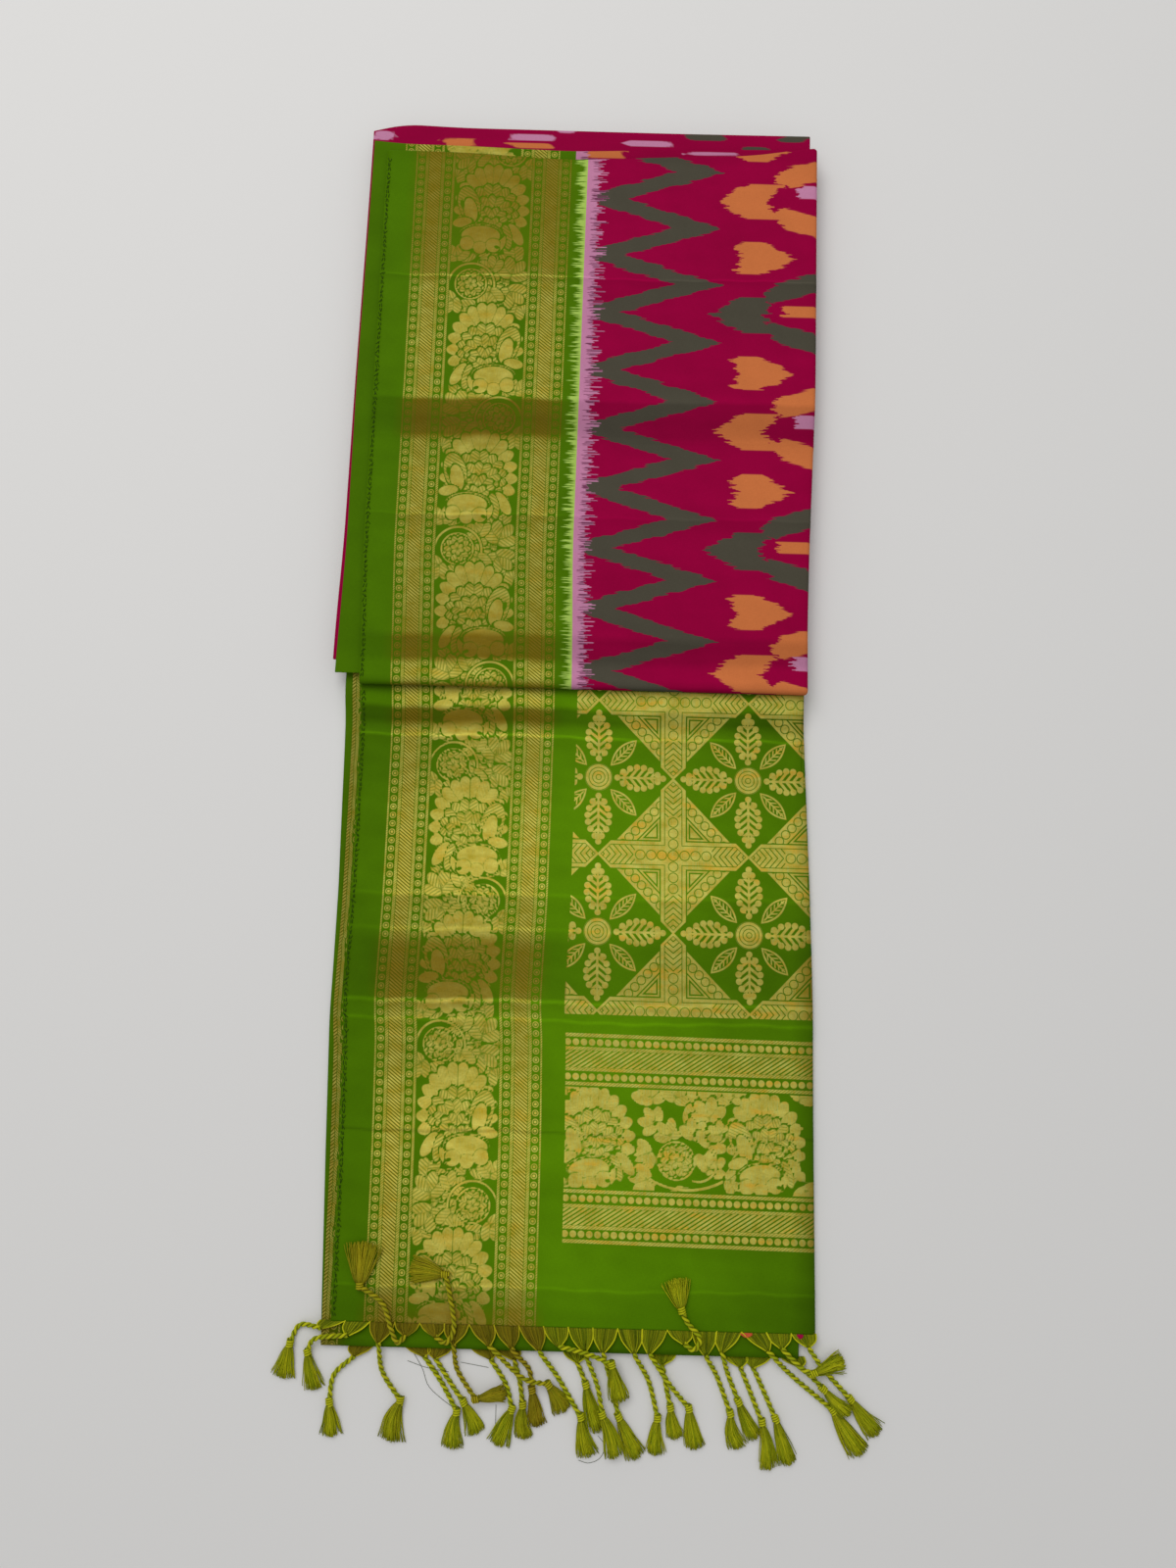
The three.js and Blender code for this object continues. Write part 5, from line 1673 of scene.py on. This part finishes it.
def smooth_path(points, count):
    """Points evenly spaced on a centripetal Catmull-Rom curve."""
    points = [np.asarray(p, dtype=float) for p in points]
    first = 2 * points[0] - points[1]
    last = 2 * points[-1] - points[-2]
    knots = [first, *points, last]
    found = []
    for a, b, c, d in zip(knots, knots[1:], knots[2:], knots[3:]):
        spans = [max(1e-6, np.linalg.norm(q - p)) ** 0.5 for p, q in ((a, b), (b, c), (c, d))]
        times = np.cumsum([0.0, *spans])
        for t in np.linspace(times[1], times[2], 24, endpoint=False):
            found.append(catmull(a, b, c, d, times, t))
    found.append(points[-1])
    found = np.array(found)
    walked = np.concatenate([[0.0], np.cumsum(np.linalg.norm(np.diff(found, axis=0), axis=1))])
    wanted = np.linspace(0, walked[-1], count)
    return np.stack([np.interp(wanted, walked, found[:, axis]) for axis in range(3)], axis=-1)


def catmull(a, b, c, d, times, t):
    """A point between b and c, blended from the four points and the times at which each is passed."""
    def blend(p, q, start, end):
        return p + (q - p) * ((t - start) / (end - start))

    ab = blend(a, b, times[0], times[1])
    bc = blend(b, c, times[1], times[2])
    cd = blend(c, d, times[2], times[3])
    return blend(blend(ab, bc, times[0], times[2]), blend(bc, cd, times[1], times[3]), times[1], times[2])


# %% [markdown]
# ## The finish of the tassel threads
#
# The threads are loosely spun silk in the border's green, and where the warp was gold or undyed
# they are olive to brown. Each thread has a shade of its own and a soft sheen like brushed hair. A
# light number paints shade on them: darker near the root and in the grooves between strands.

# %% Dye the tassel threads
THREAD_GREEN = srgb(112, 134, 4)
THREAD_LIME = srgb(204, 204, 22)
THREAD_OLIVE = srgb(150, 124, 20)
THREAD_RELIEF = 0.0002
THREAD_SPECULAR = 0.1


def thread_finish():
    finish = Finish("tassel_thread")
    shade, brown, light = finish.parts("thread")
    place = finish.node("ShaderNodeTexCoord", output=3)
    fibre = finish.noise(place, 2400.0, 1.0)
    colour = finish.mix(shade, THREAD_GREEN, THREAD_LIME)
    colour = finish.mix((brown + shade * 0.35 - 0.18).kept(), colour, THREAD_OLIVE)
    # Painted shade: the light number darkens each thread's colour.
    colour = finish.mix(1.0, colour, finish.grey(light * (fibre * 0.5 + 0.75)), "MULTIPLY")
    relief = finish.relief(fibre, THREAD_RELIEF)
    finish.set(Base_Color=colour, Roughness=0.62, Normal=relief, Specular_IOR_Level=THREAD_SPECULAR)
    return finish.material


thread_material = thread_finish()
print("thread nodes:", len(thread_material.node_tree.nodes))

# %% [markdown]
# ## The tassels
#
# Thirty tassels show at the hem. Each row of the table is one of them: where it leaves the hem,
# where its threads gather, where its cord bends, its knot and its tip. Most lie on the floor, some
# cross their neighbours, and three are thrown back over the cloth. The solid model has a plain
# tassel at each place, and these take the same routes.

# %% Where the tassels lie
AIR = 0.3
CORD_RADIUS = 1.35
KNOT_RADIUS = 2.1
HEM_SEAM = 0.35
FRONT_HEM = {"left": -140.0, "right": 147.4, "count": 20, "level": 4.55}
UNDER_HEM_LEVEL = 0.85
CORD_LEVEL = AIR + CORD_RADIUS
COVER_LEVEL = 5.25
CROSS_LEVEL = 7.9
ON_CLOTH_LEVEL = 7.2
TIP_LEVEL = 0.9
HEM_PITCH = (FRONT_HEM["right"] - FRONT_HEM["left"]) / FRONT_HEM["count"]
TASSEL_COLUMNS = (
    "name", "hem", "root", "gather_x", "gather_y", "bend_x", "bend_y", "knot_x", "knot_y", "tip_x", "tip_y",
    "bend_lift", "knot_lift", "tip_lift", "spread",
)
TASSELS = [
    ("far_left", "front", 0, -139.5, -377, -153, -377, -157.8, -386.7, -160.9, -407, 0, 0, 0, 9),
    ("left_loop", "front", 1, -124, -380.5, -143.5, -383.5, -147.4, -391.5, -142, -413, 3.6, 0, 0, 8),
    ("second_hang", "front", 2, -106, -384, -103.5, -401, -92.3, -416.5, -96.4, -440, 0, 0, 0, 10),
    ("brown_side", "front", 5, -62.5, -383.5, -60, -399, -48.5, -413.5, -30.5, -410.5, 0, 3.4, 2.6, 6),
    ("cross_right", "front", 6, -42, -384, -20, -401.5, -7, -404.5, 3, -421, 5.4, 2.4, 0, 8),
    ("brown_hang", "front", 7, -29, -385, -18.2, -398, -16.3, -408.5, -12, -429.5, 0, 0, 0, 7),
    ("mid_long", "front", 8, -13, -386, -1.5, -401.7, 12.4, -423, 17.6, -445.5, 0, 0, 0, 8),
    ("cord_over", "front", 9, -1.5, -383.5, 15.5, -386.2, 29.4, -391.5, 35, -414, 6.9, 5.2, 3.4, 8),
    ("mid_c", "front", 10, 13.5, -386, 21.5, -405, 24.6, -420, 33, -444.5, 2.6, 2.6, 2.6, 8),
    ("mid_d", "front", 11, 24.2, -386, 29.5, -404, 34.2, -422, 45.4, -445.5, 0, 0, 0, 8),
    ("mid_e", "front", 12, 42, -386, 51, -402, 56.7, -421.9, 55.4, -443.3, 0, 0, 0, 7),
    ("mid_g", "front", 13, 51, -386, 63, -402.5, 74.6, -416.2, 79.2, -439.5, 3.4, 0, 0, 8),
    ("pair_b_left", "front", 15, 83.6, -386, 90.4, -398, 98.6, -418.4, 104, -438.5, 0, 0, 0, 7),
    ("pair_b_right", "front", 16, 93, -384, 97.2, -397.5, 103.2, -411.8, 113.4, -433, 0, 0, 0, 7),
    ("right_low", "front", 17, 119.5, -382.5, 133.5, -396.5, 157.6, -415, 174.9, -440, 0, 0, 0, 9),
    ("right_flick", "front", 18, 127.5, -381, 139, -391.6, 145.6, -393.8, 165, -387.8, 4.6, 4.6, 1.6, 8),
    ("right_far", "front", 19, 143, -380, 152, -392.5, 168, -409, 184, -429, 0, 0, 0, 8),
    ("left_hang", "under", -116, -120, -393, -131.5, -404, -133.2, -418.4, -131.1, -438, 0, 0, 0, 8),
    ("pair_a_left", "under", -84, -79.6, -392, -69, -406, -59.4, -421.6, -61.4, -443, 0, 0, 0, 8),
    ("pair_a_right", "under", -70, -73, -393, -62.4, -408, -55.6, -416.6, -47.2, -434.5, 0, 0, 0, 8),
    ("spread_left", "under", -46, -41, -392.5, -31.2, -407, -27.6, -419.4, -35.6, -440.5, 0, 0, 0, 9),
    ("spread_mid", "under", -31.5, -27.2, -392.5, -23.6, -404, -21.4, -417, -20, -436.5, 0, 0, 0, 7),
    ("mid_broad", "under", 8, 9.4, -393, 12.4, -399.4, 14.8, -405, 22.8, -432, 0, 0, 0, 8),
    ("mid_f", "under", 60, 59, -393, 61.6, -406, 64, -416.2, 67.8, -434, 0, 0, 0, 7),
    ("pair_c_left", "under", 101, 104.2, -393, 109.6, -405.5, 117, -423, 121, -449.5, 0, 0, 0, 7),
    ("pair_c_right", "under", 115.5, 111.6, -393, 117.4, -405, 124.7, -420.6, 133.4, -446.5, 0, 0, 0, 7),
    ("right_short", "under", 134, 138.5, -392, 145.5, -397.4, 151.5, -402.5, 167.5, -417, 0, 3, 3, 6),
]
THROWN_COLUMNS = (
    "name", "root", "gather_x", "gather_y", "turn_x", "turn_y", "over_x", "over_y",
    "bend_x", "bend_y", "knot_x", "knot_y", "tip_x", "tip_y", "spread",
)
THROWN = [
    ("up_left", 3, -90.5, -380, -94.5, -383, -98.5, -376, -104.3, -362, -117.9, -352.3, -117, -327, 14),
    ("up_side", 4, -73, -380, -67, -382.5, -62.5, -376, -65.5, -356, -68.5, -344.6, -90, -342.8, 11),
    ("up_right", 14, 71.2, -380, 76.5, -382.5, 80, -376.5, 72.5, -367.5, 69.2, -361, 65.2, -343, 11),
]
BROWNNESS = {"up_left": 0.5, "up_side": 0.45, "brown_side": 0.6, "brown_hang": 0.7, "cross_right": 0.4,
             "second_hang": 0.15, "spread_mid": 0.2}


def front_root(place):
    return (FRONT_HEM["left"] + HEM_PITCH * (place + 0.5), HEM - HEM_SEAM, FRONT_HEM["level"])


def past_lower_hem(gather, bend):
    """Where a cord from the front hem leaves the lower hem's edge."""
    edge = HEM - UNDER_HEM_DROP - CORD_RADIUS - AIR
    if bend[1] > edge:
        return []
    share = (edge - gather[1]) / (bend[1] - gather[1])
    return [(gather[0] + (bend[0] - gather[0]) * share, edge, max(COVER_LEVEL - 0.2, bend[2]))]


def lying_route(t):
    bend = (t["bend_x"], t["bend_y"], CORD_LEVEL + t["bend_lift"])
    knot = (t["knot_x"], t["knot_y"], AIR + KNOT_RADIUS + t["knot_lift"])
    tip = (t["tip_x"], t["tip_y"], TIP_LEVEL + t["tip_lift"])
    if t["hem"] == "under":
        gather = (t["gather_x"], t["gather_y"], CORD_LEVEL)
        return [(t["root"], HEM - UNDER_HEM_DROP - HEM_SEAM, UNDER_HEM_LEVEL), gather, bend, knot], tip
    gather = (t["gather_x"], t["gather_y"], COVER_LEVEL)
    return [front_root(t["root"]), gather, *past_lower_hem(gather, bend), bend, knot], tip


def thrown_route(t):
    route = [
        front_root(t["root"]),
        (t["gather_x"], t["gather_y"], COVER_LEVEL),
        (t["turn_x"], t["turn_y"], CROSS_LEVEL),
        (t["over_x"], t["over_y"], CROSS_LEVEL),
        (t["bend_x"], t["bend_y"], ON_CLOTH_LEVEL),
        (t["knot_x"], t["knot_y"], ON_CLOTH_LEVEL + KNOT_RADIUS - CORD_RADIUS),
    ]
    return route, (t["tip_x"], t["tip_y"], ON_CLOTH_LEVEL - CORD_RADIUS + 0.6)


print("tassels:", len(TASSELS) + len(THROWN))

# %% [markdown]
# ## Knotting one tassel
#
# A tassel is made in the order in which it is knotted: the web of warp threads, the two strands
# twisted round each other, the thread wrapped round them, and the skirt. The skirt's threads start
# in a tight bunch, bulge and then spread, and each ends at its own length, so that the tips look cut
# by hand.

# %% Knot a tassel
WEB_WIDTH = 14.6
WEB_THREADS = 34
WEB_BULGE = 3.2
WEB_RADIUS = 0.32
WEB_EDGE = {"from": 0.48, "lift": 0.35, "radius": 0.4}
GATHER_WIDTH = 2.2
STRAND_RADIUS = 0.84
STRAND_OFF = 0.72
TWIST_PITCH = 7.2
SWELLING = [(-2.4, 1.2), (-1.3, 1.6), (0.2, 1.75), (1.6, 1.6), (2.8, 1.3)]
COIL = {"turns": 3.2, "steps": 58, "pitch": 1.3, "start": -2.1, "radius": 1.72, "thread": 0.6}
SKIRT_THREADS = 125
SKIRT_START = 1.2
CUT_END = {"root": 0.42, "taper": 0.2}
SKIRT_SPREAD = 1.25
FIRST_TASSEL_SEED = 700
FIRST_THROWN = 40
BROWN_WEBS = {"from": -118.0, "to": -14.0, "brown": 0.75}


def web(skein, chance, root, gather, brown):
    """Warp threads from the hem to where the cord begins, bound at both sides by a thicker one."""
    if BROWN_WEBS["from"] < root[0] < BROWN_WEBS["to"]:
        brown = max(brown, BROWN_WEBS["brown"])
    for k in range(WEB_THREADS):
        share = k / (WEB_THREADS - 1) - 0.5
        start = np.array([root[0] + share * WEB_WIDTH, root[1] + 0.8, root[2] + 0.12 * chance.normal()])
        end = np.array([gather[0] + share * GATHER_WIDTH, gather[1], gather[2] + 0.3 * chance.normal()])
        middle = (start + end) / 2 + [share * WEB_BULGE, 0.0, 0.3 * chance.random()]
        path = smooth_path([start, middle, end], 8)
        # Painted shade: the inner threads get lower light numbers and are painted darker than the edge
        # threads.
        if abs(share) > WEB_EDGE["from"]:
            skein.tube(path + [0.0, 0.0, WEB_EDGE["lift"]], WEB_EDGE["radius"], 5, 0.9, brown * 0.6, 1.0)
        else:
            skein.tube(path, WEB_RADIUS, 3, 0.7 * chance.random(), brown, 0.46 + 0.36 * chance.random())


def twisted_cord(skein, chance, route, brown):
    """Two strands wound round each other along the route."""
    rough = smooth_path(route, 40)
    length = np.linalg.norm(np.diff(rough, axis=0), axis=1).sum()
    path = smooth_path(route, max(12, int(length / 0.7)))
    path[:, 2] = np.maximum(path[:, 2], CORD_LEVEL)
    across, over = frames(path)
    angle = np.linspace(0, 2 * math.pi * length / TWIST_PITCH, len(path)) + chance.random() * 6
    # Painted shade in the groove: each strand is darker on its side turned towards the other.
    for strand, shade in ((0, 0.35), (math.pi, 0.8)):
        off = np.cos(angle + strand)[:, None] * across + np.sin(angle + strand)[:, None] * over
        skein.tube(path + off * STRAND_OFF, STRAND_RADIUS, 8, shade, brown, 1.0, off)


def knot(skein, chance, at, out, brown):
    """Thread wrapped three times round the cord, over a swelling."""
    across = np.array([-out[1], out[0], 0.0])
    up = np.array([0.0, 0.0, 1.0])
    core = [at + out * place for place, _ in SWELLING]
    # Painted shade: the swelling under the coil has a light number of 0.5.
    skein.tube(core, [radius for _, radius in SWELLING], 8, 0.2, brown, 0.5)
    turns = np.linspace(0, COIL["turns"], COIL["steps"])
    angle = turns * 2 * math.pi + chance.random() * 6
    radial = np.cos(angle)[:, None] * across + np.sin(angle)[:, None] * up
    coil = at + out * (turns[:, None] * COIL["pitch"] + COIL["start"]) + COIL["radius"] * radial
    coil[:, 2] = np.maximum(coil[:, 2], at[2] - KNOT_RADIUS + 0.55)
    # Painted shade: the coil is darker on its side turned in towards the cord.
    skein.tube(coil, COIL["thread"], 6, 0.75, brown, 1.0, radial)


def skirt(skein, chance, at, tip, spread, floor, brown):
    """Cut thread ends that fan out from the knot."""
    reach = np.linalg.norm((tip - at)[:2])
    out = np.append((tip - at)[:2] / reach, 0.0)
    across = np.array([-out[1], out[0], 0.0])
    bend = chance.normal() * 1.6
    steps = np.linspace(0, 1, 8)
    for _ in range(SKIRT_THREADS):
        side_share = np.clip(chance.normal() * 0.28, -0.6, 0.6)
        height_share = chance.random() * (1 - abs(side_share))
        length = reach * (0.84 + 0.16 * chance.random() ** 0.6) * (1 - 0.1 * abs(side_share))
        width = spread * (0.2 + 0.8 * steps ** 0.75)
        wave = 0.35 * np.sin(steps * 7.0 + 6 * chance.random()) * steps
        curl = chance.normal() * 0.6 * steps ** 2
        aside = side_share * width + bend * np.sin(steps * math.pi) * 0.5 + curl + wave
        level = at[2] + (tip[2] - at[2]) * np.minimum(1, steps * 1.4)
        lift = height_share * (2.6 - 0.9 * steps) + 0.25 * np.abs(side_share)
        ahead = SKIRT_START + (length - SKIRT_START) * steps
        path = at + out * ahead[:, None] + across * aside[:, None]
        path[:, 2] = np.maximum(level - 0.9 * (1 - steps) + lift, floor)
        # Painted shade: threads are darker near the knot and lower in the bundle.
        light = (0.7 + 0.3 * height_share) * (0.65 + 0.35 * np.minimum(1, steps * 2.2))
        radii = CUT_END["root"] - CUT_END["taper"] * steps
        skein.tube(path, radii, 3, 0.2 + 0.8 * chance.random(), brown, light)


def knotted_tassel(number, name, route, tip, spread):
    chance = np.random.default_rng(FIRST_TASSEL_SEED + number)
    skein = Skein()
    brown = BROWNNESS.get(name, 0.0)
    route = [np.array(p, dtype=float) for p in route]
    tip = np.array(tip, dtype=float)
    out = np.append((tip - route[-1])[:2], 0.0)
    out /= np.linalg.norm(out)
    floor = tip[2] - TIP_LEVEL + AIR + 0.05
    web(skein, chance, route[0], route[1], brown)
    twisted_cord(skein, chance, route[1:], brown)
    knot(skein, chance, route[-1], out, brown)
    skirt(skein, chance, route[-1], tip, spread * SKIRT_SPREAD, floor, brown)
    piece = skein.made("knotted_" + name, thread_material)
    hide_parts("tassel_" + name)
    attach(piece, "root")
    return piece


tassels = []
for number, row in enumerate(TASSELS):
    t = dict(zip(TASSEL_COLUMNS, row))
    tassels.append(knotted_tassel(number, t["name"], *lying_route(t), t["spread"]))
for number, row in enumerate(THROWN):
    t = dict(zip(THROWN_COLUMNS, row))
    tassels.append(knotted_tassel(FIRST_THROWN + number, t["name"], *thrown_route(t), t["spread"]))
print("faces in a tassel:", len(tassels[0].data.polygons))

# %% [markdown]
# ## Stitches along the selvedges
#
# Each selvedge was overlocked by hand: two uneven rows of dark green stitches run close to the
# edge. They are laid as short tubes of thread on the finished surface, so their heights come from
# the same ridges as the cloth's.

# %% Sew the selvedges
STITCH_RADIUS = 0.24
STITCH_ROWS = (1.2, 2.1)
STITCH_PITCH = 3.1
STITCH_SHORTEST = 1.5
STITCH_LONGER_BY = 1.3
STITCH_GREEN = srgb(44, 72, 3)


def plain_finish(name, colour):
    finish = Finish(name)
    place = finish.node("ShaderNodeTexCoord", output=3)
    fibre = finish.noise(place, 1500.0, 1.0)
    colour = finish.mix(1.0, colour, finish.grey(fibre * 0.6 + 0.7), "MULTIPLY")
    finish.set(Base_Color=colour, Roughness=0.7, Specular_IOR_Level=THREAD_SPECULAR)
    return finish.material


def seam(name, start, end, edge_at, height_at, seed):
    """Two rows of uneven stitches a little inside an edge."""
    chance = np.random.default_rng(seed)
    skein = Skein()
    for row in STITCH_ROWS:
        for y in np.arange(start, end, STITCH_PITCH):
            long = STITCH_SHORTEST + STITCH_LONGER_BY * chance.random()
            ys = y + np.linspace(0, long, 4)
            lean = 0.5 * chance.normal()
            xs = edge_at(ys) + row + np.linspace(-lean, lean, 4) + 0.2 * chance.normal()
            rise = 0.16 * np.sin(np.linspace(0, math.pi, 4))
            skein.tube(np.stack([xs, ys, height_at(xs, ys) + rise], axis=-1), STITCH_RADIUS, 4, 0.5)
    return skein.made(name, stitch_material)


def pallu_height(x, y):
    top = PLY + 3 * PLY_PITCH
    return top + crease_lift(x, y, y, np.ones_like(x))


stitch_material = plain_finish("stitch_thread", STITCH_GREEN)
front_seam = seam("front_seam", 6.0, 346.0, lambda y: side(y, "selvedge"), front_height, 91)
pallu_seam = seam("pallu_seam", -370.0, -3.0, lambda y: pallu_edge(y, "selvedge"), pallu_height, 92)
for piece, slot in ((front_seam, "border_silk"), (pallu_seam, "pallu_brocade")):
    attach(piece, "root")
print("stitch rows on each selvedge:", len(STITCH_ROWS))

# %% [markdown]
# ## Loose threads and coloured ends
#
# No cloth is clean of threads. A few dark hairs lie loose beside the tassels, each a thin tube along
# a curve, and at the hem two short bundles of coloured weft look out.

# %% Drop the loose threads
HAIR_GREY = srgb(84, 92, 70)
HEM_CORAL = srgb(196, 84, 50)
HAIR_RADIUS = 0.13
HAIR_LEVEL = 0.25
HAIRS = [
    [(-89.3, -395.4), (-77.9, -398.9), (-65.1, -400.9)],
    [(-85.5, -391.5), (-80.3, -399.8), (-76.7, -408.7), (-69.3, -415.3), (-61.1, -420.8)],
    [(-58.1, -395.4), (-42.0, -397.9)],
    [(-36.9, -418.2), (-36.8, -431.8)],
    [(11.6, -447.2), (17.3, -448.6), (24.0, -445.8), (26.6, -438.8), (22.5, -433.6)],
]
HEM_END_LEVEL = 4.9
HEM_END_THREADS = 5
HEM_END_BOWS = (0.0, 1.0, 0.2)
HEM_ENDS = [
    ("coral_end", HEM_CORAL, (103.5, 107.0, 110.5)), ("magenta_end", MAGENTA, (136.5, 138.2, 140.0)),
]


def lay_hairs():
    skein = Skein()
    for hair in HAIRS:
        path = smooth_path([(x, y, HAIR_LEVEL) for x, y in hair], 16)
        skein.tube(path, HAIR_RADIUS, 4, 0.5)
    return skein.made("loose_threads", plain_finish("loose_thread", HAIR_GREY))


def hem_end(name, colour, places):
    """A short bundle of coloured weft at the hem, bent a little outwards."""
    skein = Skein()
    for k in range(HEM_END_THREADS):
        level = HEM_END_LEVEL + 0.1 * k
        path = [(x, HEM - 0.5 - 0.5 * k * bow, level) for x, bow in zip(places, HEM_END_BOWS)]
        skein.tube(smooth_path(path, 6), 0.4, 5, 0.5)
    return skein.made(name, plain_finish(name, colour))


loose_threads = lay_hairs()
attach(loose_threads, "root")
for name, colour, places in HEM_ENDS:
    end = hem_end(name, colour, places)
    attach(end, "root")
print("loose threads:", len(HAIRS))

# %% [markdown]
# ## The cloths
#
# The cloths that show are gathered in one list. The packet's plies are one quarter of the saree's
# width, and the pallu is the full width, because its one cloth goes through all four plies.

cloths = [front_cloth, border_cloth, middle_cloth, return_cloth, pallu_cloth]
print("cloths declared:", [cloth.name for cloth in cloths])

# %% [markdown]
# ## The view transform
#
# The dressed model should fill the same box as the solid one. The render shows colours with the
# Standard view transform.

# %% Set the view transform
bpy.context.scene.view_settings.view_transform = "Standard"
